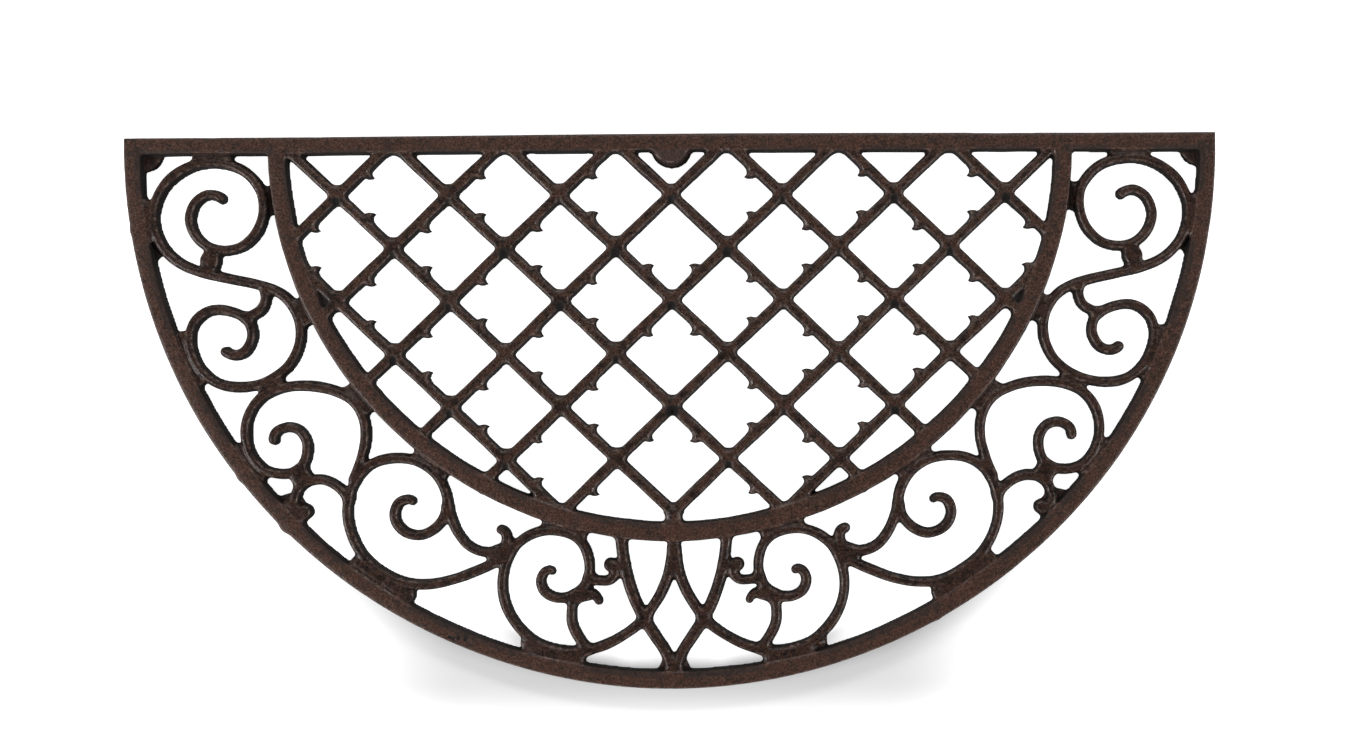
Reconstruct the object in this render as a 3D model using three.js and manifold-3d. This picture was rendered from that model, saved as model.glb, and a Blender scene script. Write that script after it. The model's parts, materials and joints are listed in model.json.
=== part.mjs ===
// Half-round cast iron door mat, in millimetres. A straight back bar and a round rim frame it, an inner
// arch holds a diamond lattice with thorns, and scrollwork fills the band between the arch and the rim.
// The drawing's origin is the centre of the half circle: +X runs along the back bar to the right, -Y points
// to the round front, +Z is up, and the mat stands on Z = 0.

import * as THREE from 'three';
import Module from 'manifold-3d';
import { mergeVertices } from 'three/addons/utils/BufferGeometryUtils.js';

const wasm = await Module();
wasm.setup();

// Frame
const RIM_RADIUS = 361.4;
const RIM_WIDTH = 11.6;
const BACK_BAR_WIDTH = 11.6;
const ARCH_HALF_SPAN = 260.8;
const ARCH_DEPTH = 257.8;
const ARCH_WIDTH = 12;
const FRAME_THICKNESS = 12;
const FRAME_CROWN = 1.4;
const FRAME_INSET = 1.2;

// Lattice
const LATTICE_WIDTH = 7.4;
const LATTICE_THICKNESS = 11;
const LATTICE_INSET = 0.8;
const COLUMN_SPACING = 36.95;
const ROW_SPACING = 35.15;
const FIRST_ROW = 33.8;
const THORN_REACH = 5.5;
const THORN_ROOT = 5;
const THORN_THICKNESS = 9;
const POCKET_DEPTH = 12;
const POCKET_WEB_WIDTH = 10;

// Scrollwork
const SCROLL_WIDTH = 6.6;
const SCROLL_THICKNESS = 11.2;
const SCROLL_CROWN = 3;
const SCROLL_INSET = 1.6;
const COLLAR_WIDTH = 11.4;
const COLLAR_THICKNESS = 10.2;
const FAN_MIDDLE_WIDTH = 8.4;
const WEB_THICKNESS = 6.5;
const WEB_EDGE = 0.5;
const KNOB_RADIUS = 4.7;
const KNOB_SIDES = 14;
const END_IN_RIM = 1.6;
const END_IN_ARCH = 7.8;
const WEB_OFF_ARCH = 3.3;

// Feet
const FOOT_HEIGHT = 3;
const FOOT_RADIUS = 12.5;
const SMALL_FOOT_RADIUS = 11;
const FOOT_COLLAR = 4;
const FOOT_SIDES = 24;
const CORNER_FOOT_INSET = [10.4, 3.5];
const SIDE_FOOT_ANGLE = 43.4;
const SIDE_FOOT_INSET = 4;
const FRONT_FOOT_INSET = 1.5;
const LUG_INSET = 2.5;
const OUTLINE_MARGIN = 1;
const OUTLINE_STEPS = 90;

// Common to all members: sides that lean in as they rise, and the seam left where two members meet
const DRAFT = 0.075;
const SEAM = 0.3;
const FRAME_STEPS = 48;

const rimCentre = RIM_RADIUS - RIM_WIDTH / 2;
const rimInner = RIM_RADIUS - RIM_WIDTH;
const frameTop = FOOT_HEIGHT + FRAME_THICKNESS;

const iron = (colour) => new THREE.MeshStandardMaterial({ color: colour, roughness: 0.58, metalness: 0.35 });

// Solids from three.js geometry, and back again
function toSolid(geometry) {
  geometry.deleteAttribute('normal');
  geometry.deleteAttribute('uv');
  const merged = mergeVertices(geometry, 1e-4);
  const vertProperties = new Float32Array(merged.attributes.position.array);
  const triVerts = new Uint32Array(merged.index.array);
  return new wasm.Manifold(new wasm.Mesh({ numProp: 3, vertProperties, triVerts }));
}

function toGeometry(solid) {
  const { vertProperties, triVerts } = solid.getMesh();
  const geometry = new THREE.BufferGeometry();
  geometry.setAttribute('position', new THREE.BufferAttribute(new Float32Array(vertProperties), 3));
  geometry.setIndex(new THREE.BufferAttribute(new Uint32Array(triVerts), 1));
  geometry.computeVertexNormals();
  return geometry;
}

const join = (solids) => solids.reduce((whole, solid) => whole.add(solid));

// How a member is made: as cast, larger by the seam to clear what meets it, or that with upright sides, which
// clears a foot's low collar without leaving slivers of it in the grooves between leaning sides
const AS_CAST = { grow: 0, draft: DRAFT };
const SEAM_ROOM = { grow: SEAM, draft: DRAFT };
const FOOT_ROOM = { grow: SEAM, draft: 0 };

// A bar's cross-section: flat underside, sides that lean in, and a crown, if it has one, that narrows to
// a flat top. The section is swept with its x axis down.
function barSection({ width, thickness, crown, inset }, { grow, draft }) {
  const shoulder = thickness - crown;
  const foot = width / 2 + grow;
  const waist = foot - draft * shoulder;
  const half = [[-grow, foot], [thickness + grow, waist - inset]];
  if (crown > 0) half.splice(1, 0, [shoulder, waist]);
  const shape = new THREE.Shape();
  shape.moveTo(-half[0][0], half[0][1]);
  half.slice(1).forEach(([up, out]) => shape.lineTo(-up, out));
  half.slice().reverse().forEach(([up, out]) => shape.lineTo(-up, -out));
  shape.closePath();
  return shape;
}

const bar = (width, thickness, crown, inset) => ({ width, thickness, crown, inset });
const RIM_BAR = bar(RIM_WIDTH, FRAME_THICKNESS, FRAME_CROWN, FRAME_INSET);
const BACK_BAR = bar(BACK_BAR_WIDTH, FRAME_THICKNESS, FRAME_CROWN, FRAME_INSET);
const ARCH_BAR = bar(ARCH_WIDTH, FRAME_THICKNESS, FRAME_CROWN, FRAME_INSET);
const LATTICE_BAR = bar(LATTICE_WIDTH, LATTICE_THICKNESS, 0, LATTICE_INSET);
const SCROLL_BAR = bar(SCROLL_WIDTH, SCROLL_THICKNESS, SCROLL_CROWN, SCROLL_INSET);
const COLLAR_BAR = bar(COLLAR_WIDTH, COLLAR_THICKNESS, SCROLL_CROWN, SCROLL_INSET);
const FAN_MIDDLE_BAR = bar(FAN_MIDDLE_WIDTH, SCROLL_THICKNESS, SCROLL_CROWN, SCROLL_INSET);

// Paths. Steps follow the points, so tight curls get shorter steps than long sweeps.
class Stroke extends THREE.CatmullRomCurve3 {
  getPointAt(u, target) {
    return this.getPoint(u, target);
  }

  getTangentAt(u, target) {
    return this.getTangent(u, target);
  }
}

class HalfEllipse extends THREE.Curve {
  constructor(halfSpan, depth) {
    super();
    this.halfSpan = halfSpan;
    this.depth = depth;
  }

  getPoint(t, target = new THREE.Vector3()) {
    const angle = Math.PI * (1 + t);
    return target.set(this.halfSpan * Math.cos(angle), this.depth * Math.sin(angle), FOOT_HEIGHT);
  }

  getPointAt(u, target) {
    return this.getPoint(u, target);
  }

  getTangentAt(u, target = new THREE.Vector3()) {
    const angle = Math.PI * (1 + u);
    return target.set(-this.halfSpan * Math.sin(angle), this.depth * Math.cos(angle), 0).normalize();
  }
}

function sweep(path, steps, section) {
  return toSolid(new THREE.ExtrudeGeometry(section, { steps, extrudePath: path }));
}

function straight([x0, y0], [x1, y1], shapeOfBar, fit) {
  const from = new THREE.Vector3(x0, y0, FOOT_HEIGHT);
  const to = new THREE.Vector3(x1, y1, FOOT_HEIGHT);
  return sweep(new THREE.LineCurve3(from, to), 1, barSection(shapeOfBar, fit));
}

// Members of the casting, in the order in which they give way to each other
const members = [];

function cast(name, shape, colour) {
  const body = members.reduce((rest, member) => rest.subtract(member.room), shape(AS_CAST));
  members.push({ name, body, shape, room: shape(SEAM_ROOM), colour });
}

// Frame members
function backBar(fit) {
  const reach = RIM_RADIUS + fit.grow;
  return straight([-reach, 0], [reach, 0], BACK_BAR, fit);
}

function outerRim(fit) {
  return sweep(new HalfEllipse(rimCentre, rimCentre), FRAME_STEPS, barSection(RIM_BAR, fit));
}

function innerArch(fit) {
  return sweep(new HalfEllipse(ARCH_HALF_SPAN, ARCH_DEPTH), FRAME_STEPS, barSection(ARCH_BAR, fit));
}

cast('back_bar', backBar, 0x44332d);
cast('outer_rim', outerRim, 0x3f302b);
cast('inner_arch', innerArch, 0x46362f);

// 1 on the arch's inner edge, and less inside it
function archShare([x, y]) {
  return Math.hypot(x / (ARCH_HALF_SPAN - ARCH_WIDTH / 2), y / (ARCH_DEPTH - ARCH_WIDTH / 2));
}

const slope = ROW_SPACING / COLUMN_SPACING;
const latticeReach = 2 * Math.ceil(ARCH_HALF_SPAN / COLUMN_SPACING);

// A slanting lattice line, counted in columns from the middle, from the back bar or the arch's centre line to
// the arch's centre line again. It is left out if it crosses no other line inside the arch.
function latticeSpan(column) {
  const rise = FIRST_ROW + column * ROW_SPACING;
  const a = (1 / ARCH_HALF_SPAN) ** 2 + (slope / ARCH_DEPTH) ** 2;
  const b = (2 * slope * rise) / ARCH_DEPTH ** 2;
  const c = (rise / ARCH_DEPTH) ** 2 - 1;
  const root = b * b - 4 * a * c;
  if (root <= 0) return null;
  const startX = Math.max(-rise / slope, (-b - Math.sqrt(root)) / (2 * a));
  const endX = (-b + Math.sqrt(root)) / (2 * a);
  const heightAt = (x) => -(rise + slope * x);
  for (let x = Math.ceil(startX / COLUMN_SPACING) * COLUMN_SPACING; x < endX; x += COLUMN_SPACING) {
    const inside = heightAt(x) < -BACK_BAR_WIDTH / 2 && archShare([x, heightAt(x)]) < 1;
    if (inside) return [[startX, heightAt(startX)], [endX, heightAt(endX)]];
  }
  return null;
}

function latticeBars(fit) {
  const bars = [];
  for (let column = -latticeReach; column <= latticeReach; column += 2) {
    const span = latticeSpan(column);
    if (!span) continue;
    for (const side of [1, -1]) {
      const [from, to] = span.map(([x, y]) => [side * x, y]);
      bars.push(straight(from, to, LATTICE_BAR, fit));
    }
  }
  return bars;
}

// A point of a thorn. It stands on the bar along one edge of a diamond cell, run counts along that edge from
// its middle and depth counts outward. side is the edge's side of the cell, and rise is 1 on an upper edge
// and -1 on a lower one.
function onCellEdge([cellX, cellY], side, rise, [run, depth]) {
  const along = new THREE.Vector2(COLUMN_SPACING, ROW_SPACING).normalize();
  const x = -COLUMN_SPACING / 2 + along.x * run - along.y * depth;
  const y = ROW_SPACING / 2 + along.y * run + along.x * depth;
  return [cellX - side * x, cellY + rise * y];
}

// A thorn points from its bar to the middle line of the cell
function thorn(cell, side, rise) {
  const edge = -LATTICE_WIDTH / 2;
  const tip = [-THORN_ROOT * 0.15, edge - THORN_REACH];
  const throat = [THORN_ROOT * 0.35, edge - THORN_REACH * 0.25];
  const corners = [[-THORN_ROOT, 0], [-THORN_ROOT, edge], tip, throat, [THORN_ROOT, edge], [THORN_ROOT, 0]];
  const placed = corners.map((corner) => new THREE.Vector2(...onCellEdge(cell, side, rise, corner)));
  const thickness = { depth: THORN_THICKNESS, bevelEnabled: false };
  const geometry = new THREE.ExtrudeGeometry(new THREE.Shape(placed), thickness);
  geometry.translate(0, 0, FOOT_HEIGHT);
  return toSolid(geometry);
}

// The lattice's crossings and cell centres, which alternate along a column. parity is 0 for the crossings.
function latticePoints(parity) {
  const rows = (ARCH_DEPTH - FIRST_ROW) / ROW_SPACING + 1;
  const points = [];
  for (let column = 0; column <= latticeReach; column += 1) {
    for (let row = (column + parity) % 2; row < rows; row += 2) {
      points.push({ column, row, x: column * COLUMN_SPACING, y: -(FIRST_ROW + row * ROW_SPACING) });
    }
  }
  return points;
}

// Cells left of the middle have thorns on their left edges and those on the right mirror them. The middle
// column has one pair in each cell, on the lower edges of the first cell and on the upper edges of the rest.
function latticeThorns() {
  const root = [0, -LATTICE_WIDTH / 2];
  const thorns = [];
  for (const { column, row, x, y } of latticePoints(1)) {
    const rises = column > 0 ? [1, -1] : [row === 1 ? -1 : 1];
    for (const rise of rises) {
      const line = row - rise * (column + 1);
      if (!latticeSpan(line) || archShare(onCellEdge([x, y], 1, rise, root)) > 1) continue;
      thorns.push(thorn([x, y], 1, rise), thorn([-x, y], -1, rise));
    }
  }
  return thorns;
}

// Where two bars cross close to the arch, a low web closes the pocket they leave in front of it
function pocketWebs(fit) {
  const section = bar(POCKET_WEB_WIDTH, WEB_THICKNESS, WEB_EDGE, WEB_EDGE);
  const webs = [];
  for (const { x, y } of latticePoints(0)) {
    const share = archShare([x, y]);
    const gap = (1 / share - 1) * Math.hypot(x, y);
    if (share > 1 || gap > POCKET_DEPTH) continue;
    const across = ARCH_HALF_SPAN * Math.sqrt(1 - (y / ARCH_DEPTH) ** 2);
    const forward = -ARCH_DEPTH * Math.sqrt(1 - (x / ARCH_HALF_SPAN) ** 2);
    for (const side of [1, -1]) {
      const end = x > -y ? [side * across, y] : [side * x, forward];
      webs.push(straight([side * x, y], end, section, fit));
    }
  }
  return webs;
}

cast('lattice_panel', (fit) => {
  const thorns = fit === AS_CAST ? latticeThorns() : [];
  return join([...latticeBars(fit), ...pocketWebs(fit), ...thorns]);
}, 0x4a3a33);

// The scrollwork is drawn on the right half, in X from the middle and Y from the back bar. A web is drawn as
// its two ends and its width.
const SIDE_SCROLL = [
  [299.2, -35.6], [306.5, -33], [314.5, -37.2], [319.4, -47.5], [316.3, -58.7], [308.5, -66.3], [297, -69.1],
  [285, -66.3], [275.5, -57], [270.8, -43], [273, -29], [285, -16.8], [303, -11.3], [321, -15.2],
  [336.5, -27.1], [343.6, -46], [339.1, -63.8], [328.5, -76], [314, -82.9], [295, -88.1], [276, -92.1],
  [262, -97.5], [252.2, -105.6], [247, -117], [247, -131], [253.5, -144.8], [266.5, -155], [284, -159.8],
  [302, -157.2], [315, -145.5], [320.1, -130], [317, -116.5], [306.2, -108.6], [291, -110.4], [281, -117],
  [278.6, -126.5], [283.5, -136], [291, -138.1], [296.8, -136.3],
];
const SIDE_SCROLL_WEBS = [
  [[318, -9], [291, -9], 7],
  [[347.4, -39], [343.6, -69], 8],
  [[268.4, -30], [266.4, -46], 8],
  [[247.5, -105.5], [242.6, -115.5], 8],
  [[325.4, -126], [314, -155], 8],
];

const MIDDLE_SCROLL = [
  [266.3, -193.8], [263.5, -188.3], [256, -185.9], [247.6, -188.8], [242.8, -197], [244, -208],
  [249.5, -215], [260, -217.4], [271, -214.6], [279, -206], [283, -193], [281.3, -179.5], [273.5, -167.5],
  [260, -160.8], [243, -159.3], [226, -162.3], [212.5, -169.4], [205.3, -181.5], [204.2, -195],
  [207.3, -207.5], [213.5, -221],
];
const MIDDLE_SCROLL_WEBS = [
  [[214.5, -163], [203.2, -174.5], 8],
  [[287, -201], [273.5, -218], 8],
  [[271, -162], [261, -156], 6],
];

const LOWER_SCROLL = [
  [174.6, -235.1], [181.5, -236.8], [184.9, -244], [183.3, -251.3], [177.3, -257], [168.5, -259],
  [159.5, -255.3], [152.8, -247.8], [150, -237.5], [152.6, -226.8], [160, -216.3], [171, -209.8],
  [185.5, -207.8], [199, -210.8], [209.5, -220], [215.2, -233.5], [216, -247], [212.3, -260.5],
  [204, -274], [192.5, -283.3], [178, -290.3], [162.5, -291.6], [146, -288.5], [130, -282.6],
  [111.5, -274.5],
];
const LOWER_SCROLL_WEBS = [
  [[168.5, -206.5], [153.5, -218.5], 8],
  [[212.5, -273], [177, -298.5], 10],
];

const LEAF_STEM = [
  [149.8, -240.5], [147, -249], [142.8, -258], [136, -266.3], [127, -270.4], [117.5, -270.4], [109.5, -270.5],
];
const LEAF_TIP = [[113.2, -269.5], [112.6, -261.5], [114.6, -254]];

const FAN_SCROLL = [
  [81.8, -282.3], [86, -284], [87.9, -289.5], [85.5, -296.5], [78.5, -300.6], [69.5, -300.4],
  [61.3, -295.3], [56.6, -286.8], [56.1, -276.5], [60.2, -265.3], [69, -258.2], [82, -256],
  [95.3, -259.3], [105.8, -267.5], [111.7, -279.5], [113.6, -293], [111, -306.5], [103.2, -319.6],
  [91.5, -330.3], [77, -336.3], [61, -336.4], [45, -332.2], [31.5, -324.8], [19.4, -315.5],
];
const FAN_SCROLL_WEBS = [
  [[100.5, -331.5], [61, -341.3], 10],
  [[85, -252.5], [61, -258.5], 8],
];
const FAN_OUTER_ARC = [
  [35.2, -256], [34.3, -268], [32.6, -280], [29.8, -291], [25.8, -302.5], [19.4, -315.5], [12, -327.3],
  [5, -338.3], [0.5, -352],
];
const FAN_INNER_ARC = [[19.4, -315.5], [12.4, -303.5], [7.4, -292], [3.6, -279], [1, -268]];
const FAN_MIDDLE = [[0, -256], [0, -271], [0, -286]];

const FAN_STEM = [[66.3, -300.5], [67.6, -309], [67.3, -317.5], [64, -325.5], [57.5, -335.5]];
const FAN_HOOK = [[65.5, -299.4], [58.5, -299.5], [53.3, -300.8], [50.3, -304.4]];
const FAN_CURL = [[56, -288], [50, -289.4], [43.5, -289.3], [39.3, -285.8], [38.3, -281], [34, -279]];
const FAN_CURL_KNOB = [42, -279];

const LINK = [[282.5, -114.2], [277.5, -112.6], [272.4, -108], [269.8, -101.5], [271, -93.5]];
const UPPER_COLLAR = [[304.5, -68.5], [307.5, -84]];
const LOWER_COLLAR = [[248.6, -214.8], [245.4, -224.2]];
const RIM_HOOK = [[246.5, -223], [250.2, -230.5], [251.6, -237], [249, -242], [244.6, -243.2]];
const RIM_HOOK_KNOB = [244, -243.4];
const RIM_HOOK_WEB = [[254.5, -236], [248.5, -247.5], 8];
const BRANCH = [
  [245.6, -222.6], [240, -221.6], [234, -221.3], [227.5, -223.3], [221.5, -227.3], [215.6, -234],
];

// The frame that the drawing was made for, as its own points give it: the fan's outer arc ends in the rim,
// the fan's middle bar starts in the arch, and the side scroll's third web lies along the arch
const drawnRimInner = Math.hypot(...FAN_OUTER_ARC.at(-1)) - END_IN_RIM;
const drawnArchDepth = END_IN_ARCH - FAN_MIDDLE[0][1];
const [besideArch, belowBar] = SIDE_SCROLL_WEBS[2][0];
const drawnArchHalfSpan = (besideArch - WEB_OFF_ARCH) / Math.sqrt(1 - (belowBar / drawnArchDepth) ** 2);

// Drawn points keep their share of the band between arch and rim when either of them is resized, and those
// that lie in the arch or the rim keep their depth in it
function inBand([x, y]) {
  const angle = Math.atan2(y, x);
  const ellipse = (halfSpan, depth) => 1 / Math.hypot(Math.cos(angle) / halfSpan, Math.sin(angle) / depth);
  const drawnArch = ellipse(drawnArchHalfSpan, drawnArchDepth);
  const arch = ellipse(ARCH_HALF_SPAN + ARCH_WIDTH / 2, ARCH_DEPTH + ARCH_WIDTH / 2);
  const radius = Math.hypot(x, y);
  const share = THREE.MathUtils.clamp((radius - drawnArch) / (drawnRimInner - drawnArch), 0, 1);
  const depthInFrame = radius - THREE.MathUtils.lerp(drawnArch, drawnRimInner, share);
  const placed = THREE.MathUtils.lerp(arch, rimInner, share) + depthInFrame;
  return [placed * Math.cos(angle), placed * Math.sin(angle)];
}

function stroke(points, side, shapeOfBar, fit, stepsPerPoint = 2) {
  const placed = points.map(inBand).map(([x, y]) => new THREE.Vector3(side * x, y, FOOT_HEIGHT));
  const path = new Stroke(placed, false, 'centripetal');
  return sweep(path, (points.length - 1) * stepsPerPoint, barSection(shapeOfBar, fit));
}

// A low web that fills the gap where a scroll runs beside another member
function web([from, to, width], side, fit) {
  const [start, end] = [from, to].map(inBand).map(([x, y]) => [side * x, y]);
  return straight(start, end, bar(width, WEB_THICKNESS, WEB_EDGE, WEB_EDGE), fit);
}

function knob(point, side, { grow, draft }) {
  const [x, y] = inBand(point);
  const height = SCROLL_THICKNESS + 2 * grow;
  const base = KNOB_RADIUS + grow;
  const geometry = new THREE.CylinderGeometry(base - draft * height, base, height, KNOB_SIDES);
  geometry.rotateX(Math.PI / 2);
  geometry.translate(side * x, y, FOOT_HEIGHT - grow + height / 2);
  return toSolid(geometry);
}

const withWebs = (points, webs, side, fit) => {
  return join([stroke(points, side, SCROLL_BAR, fit), ...webs.map((row) => web(row, side, fit))]);
};
const sides = [[-1, 'left'], [1, 'right']];

cast('fan_middle', (fit) => stroke(FAN_MIDDLE, 1, FAN_MIDDLE_BAR, fit, 1), 0x46372f);
for (const [side, hand] of sides) {
  cast(`side_scroll_${hand}`, (fit) => withWebs(SIDE_SCROLL, SIDE_SCROLL_WEBS, side, fit), 0x4d3c35);
  cast(`fan_outer_arc_${hand}`, (fit) => stroke(FAN_OUTER_ARC, side, SCROLL_BAR, fit), 0x46372f);
  cast(`fan_scroll_${hand}`, (fit) => withWebs(FAN_SCROLL, FAN_SCROLL_WEBS, side, fit), 0x503f37);
  cast(`fan_inner_arc_${hand}`, (fit) => stroke(FAN_INNER_ARC, side, SCROLL_BAR, fit), 0x4a3931);
  cast(`lower_scroll_${hand}`, (fit) => withWebs(LOWER_SCROLL, LOWER_SCROLL_WEBS, side, fit), 0x483932);
  cast(`middle_scroll_${hand}`, (fit) => withWebs(MIDDLE_SCROLL, MIDDLE_SCROLL_WEBS, side, fit), 0x52413a);
  cast(`upper_collar_${hand}`, (fit) => stroke(UPPER_COLLAR, side, COLLAR_BAR, fit, 1), 0x41322c);
  cast(`lower_collar_${hand}`, (fit) => stroke(LOWER_COLLAR, side, COLLAR_BAR, fit, 1), 0x41322c);
  cast(`scroll_link_${hand}`, (fit) => stroke(LINK, side, SCROLL_BAR, fit), 0x46372f);
  cast(`branch_${hand}`, (fit) => stroke(BRANCH, side, SCROLL_BAR, fit), 0x4d3c35);
  cast(`rim_hook_${hand}`, (fit) => join([withWebs(RIM_HOOK, [RIM_HOOK_WEB], side, fit),
    knob(RIM_HOOK_KNOB, side, fit)]), 0x483932);
  cast(`leaf_stem_${hand}`, (fit) => join([stroke(LEAF_STEM, side, SCROLL_BAR, fit),
    stroke(LEAF_TIP, side, SCROLL_BAR, fit)]), 0x503f37);
  cast(`fan_stem_${hand}`, (fit) => stroke(FAN_STEM, side, SCROLL_BAR, fit), 0x46372f);
  cast(`fan_hook_${hand}`, (fit) => stroke(FAN_HOOK, side, SCROLL_BAR, fit), 0x4d3c35);
  cast(`fan_curl_${hand}`, (fit) => join([stroke(FAN_CURL, side, SCROLL_BAR, fit),
    knob(FAN_CURL_KNOB, side, fit)]), 0x483932);
}

// Feet: round pads under the frame, whose collars show in the corners and behind the fan's tip. The one in
// the middle of the back carries a half-round lug, level with the bar's top. None passes the mat's outline.
function outline(edge) {
  const radius = RIM_RADIUS - OUTLINE_MARGIN;
  const shape = new THREE.Shape();
  shape.moveTo(radius, edge);
  shape.lineTo(-radius, edge);
  shape.absarc(0, 0, radius, Math.PI, 2 * Math.PI, false);
  shape.closePath();
  const plate = { depth: frameTop, bevelEnabled: false, curveSegments: OUTLINE_STEPS };
  return toSolid(new THREE.ExtrudeGeometry(shape, plate));
}

const backEdge = BACK_BAR_WIDTH / 2 - OUTLINE_MARGIN;

function footPad([x, y], radius, top, edge = backEdge) {
  const geometry = new THREE.CylinderGeometry(radius - DRAFT * top, radius, top, FOOT_SIDES);
  geometry.rotateX(Math.PI / 2);
  geometry.translate(x, y, top / 2);
  return toSolid(geometry).intersect(outline(edge));
}

const collarTop = FOOT_HEIGHT + FOOT_COLLAR;
const sideFootReach = rimCentre - SIDE_FOOT_INSET;
const sideFootAngle = THREE.MathUtils.degToRad(SIDE_FOOT_ANGLE);
const footPlan = [['front_foot', [0, -rimInner + FRONT_FOOT_INSET], SMALL_FOOT_RADIUS]];
for (const [side, hand] of sides) {
  const cornerPlace = [side * (RIM_RADIUS - CORNER_FOOT_INSET[0]), -CORNER_FOOT_INSET[1]];
  const across = side * sideFootReach * Math.cos(sideFootAngle);
  const sidePlace = [across, -sideFootReach * Math.sin(sideFootAngle)];
  footPlan.push([`corner_foot_${hand}`, cornerPlace, FOOT_RADIUS]);
  footPlan.push([`side_foot_${hand}`, sidePlace, SMALL_FOOT_RADIUS]);
}
const backFoot = footPad([0, -LUG_INSET], FOOT_RADIUS, collarTop);
const lug = footPad([0, -LUG_INSET], FOOT_RADIUS, frameTop, 0);
const feet = footPlan.map(([name, place, radius]) => [name, footPad(place, radius, collarTop)]);
feet.push(['back_foot_and_lug', backFoot.add(lug)]);

const footRooms = members.map((member) => member.shape(FOOT_ROOM));
const parts = members.map(({ name, body, colour }) => ({ name, body, colour }));
for (const [name, pad] of feet) {
  parts.push({ name, body: footRooms.reduce((rest, room) => rest.subtract(room), pad), colour: 0x3a2c27 });
}

// The origin of the finished mat is under the middle of its box
const mat = new THREE.Group();
mat.position.y = (RIM_RADIUS - BACK_BAR_WIDTH / 2) / 2;
for (const { name, body, colour } of parts) {
  const mesh = new THREE.Mesh(toGeometry(body), iron(colour));
  mesh.name = name;
  mat.add(mesh);
}

export default mat;
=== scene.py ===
"""Half-round cast iron door mat, dressed for Blender.

The whole mat is one sand casting. Its surface is worked out once, from the same drawing as the CAD model:
every bar, scroll and pad is a signed distance in plan with a rounded profile in height, and they run into
each other with fillets. That surface is then divided between the CAD's nodes, one piece each and two for the
lattice, so the pieces meet without a visible seam. Drawing lengths are in millimetres, with the drawing's
origin in the middle of the back bar.
"""

import json
import math

import bpy
import numpy as np
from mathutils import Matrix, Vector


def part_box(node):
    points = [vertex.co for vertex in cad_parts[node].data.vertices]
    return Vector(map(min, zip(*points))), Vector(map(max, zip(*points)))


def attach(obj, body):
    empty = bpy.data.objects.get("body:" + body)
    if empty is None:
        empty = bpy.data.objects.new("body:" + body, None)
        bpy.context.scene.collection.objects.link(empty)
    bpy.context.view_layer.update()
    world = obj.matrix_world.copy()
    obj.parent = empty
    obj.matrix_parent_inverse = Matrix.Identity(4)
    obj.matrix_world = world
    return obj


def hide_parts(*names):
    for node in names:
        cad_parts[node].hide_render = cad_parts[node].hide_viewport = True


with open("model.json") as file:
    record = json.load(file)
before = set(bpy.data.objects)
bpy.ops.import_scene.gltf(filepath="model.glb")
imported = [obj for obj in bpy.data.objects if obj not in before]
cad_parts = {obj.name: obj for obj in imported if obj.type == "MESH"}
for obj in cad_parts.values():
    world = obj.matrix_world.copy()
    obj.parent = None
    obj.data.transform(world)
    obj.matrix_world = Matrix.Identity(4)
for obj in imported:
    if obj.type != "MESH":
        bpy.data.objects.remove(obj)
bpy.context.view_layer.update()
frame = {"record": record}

MM = 0.001

# Camera, in metres and degrees. It looks straight down from beside the middle, and its shift frames the mat.
SENSOR = 36.0
VIEW_WIDTH = 0.9072
VIEW_CENTRE = (0.0073, 0.0236)
LENS_OVER = (0.100, -0.0092)
CAMERA_HEIGHT = 1.5
CAMERA_ROLL = 0.35
MIDDLE_HEIGHT = 0.009

camera_data = bpy.data.cameras.new("camera")
camera_data.sensor_width = SENSOR
camera_data.lens = SENSOR * CAMERA_HEIGHT / VIEW_WIDTH
camera_data.shift_x = (VIEW_CENTRE[0] - LENS_OVER[0]) / VIEW_WIDTH
camera_data.shift_y = (VIEW_CENTRE[1] - LENS_OVER[1]) / VIEW_WIDTH
camera = bpy.data.objects.new("camera", camera_data)
camera.location = (*LENS_OVER, CAMERA_HEIGHT + MIDDLE_HEIGHT)
camera.rotation_euler = (0, 0, -math.radians(CAMERA_ROLL))
bpy.context.scene.collection.objects.link(camera)
bpy.context.scene.camera = camera

# Driving sizes, from the frame
bar_low, bar_high = (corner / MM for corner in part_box("back_bar"))
arch_low, arch_high = (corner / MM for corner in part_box("inner_arch"))
ROW_OFFSET = (bar_low.y + bar_high.y) / 2
UNDERSIDE = bar_low.z
FRAME_TOP = bar_high.z
RIM_RADIUS = bar_high.x
BAR_WIDTH = bar_high.y - bar_low.y
RIM_WIDTH = BAR_WIDTH
ARCH_WIDTH = 12.0
ARCH_HALF_SPAN = arch_high.x - ARCH_WIDTH / 2
ARCH_DEPTH = ROW_OFFSET - arch_low.y - ARCH_WIDTH / 2
LATTICE_WIDTH = 7.4
COLUMN_SPACING = 36.95
ROW_SPACING = 35.15
FIRST_ROW = 33.8
SCROLL_WIDTH = 6.85
rim_centre = RIM_RADIUS - RIM_WIDTH / 2
rim_inner = RIM_RADIUS - RIM_WIDTH

# The grid that the casting is worked out on: its step in plan, the margin round a form's own window, a
# distance that counts as past every form, and the heights of its layers
STEP = 0.9
MARGIN = 8.0
FAR = 60.0
LEVELS = np.array([-0.7, 1.5, 3.6, 6.0, 9.0, 11.2, 12.6, 13.5, 14.6, 15.7])
SPARE_COLUMNS = 3
FRONT_ROOM, BACK_ROOM = 3, 4
TINY = 1e-9
half_columns = math.ceil(RIM_RADIUS / STEP) + SPARE_COLUMNS
xs = (np.arange(2 * half_columns) - half_columns + 0.5) * STEP
ys = np.arange(-math.ceil(RIM_RADIUS) - FRONT_ROOM, BAR_WIDTH / 2 + BACK_ROOM, STEP)
GRID = (len(ys), len(xs))
grid_y, grid_x = np.meshgrid(ys, xs, indexing="ij")

# How far the knots of a bump's spline range, so that the bumps come out about as high as said
KNOT_RANGE = 1.6


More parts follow.
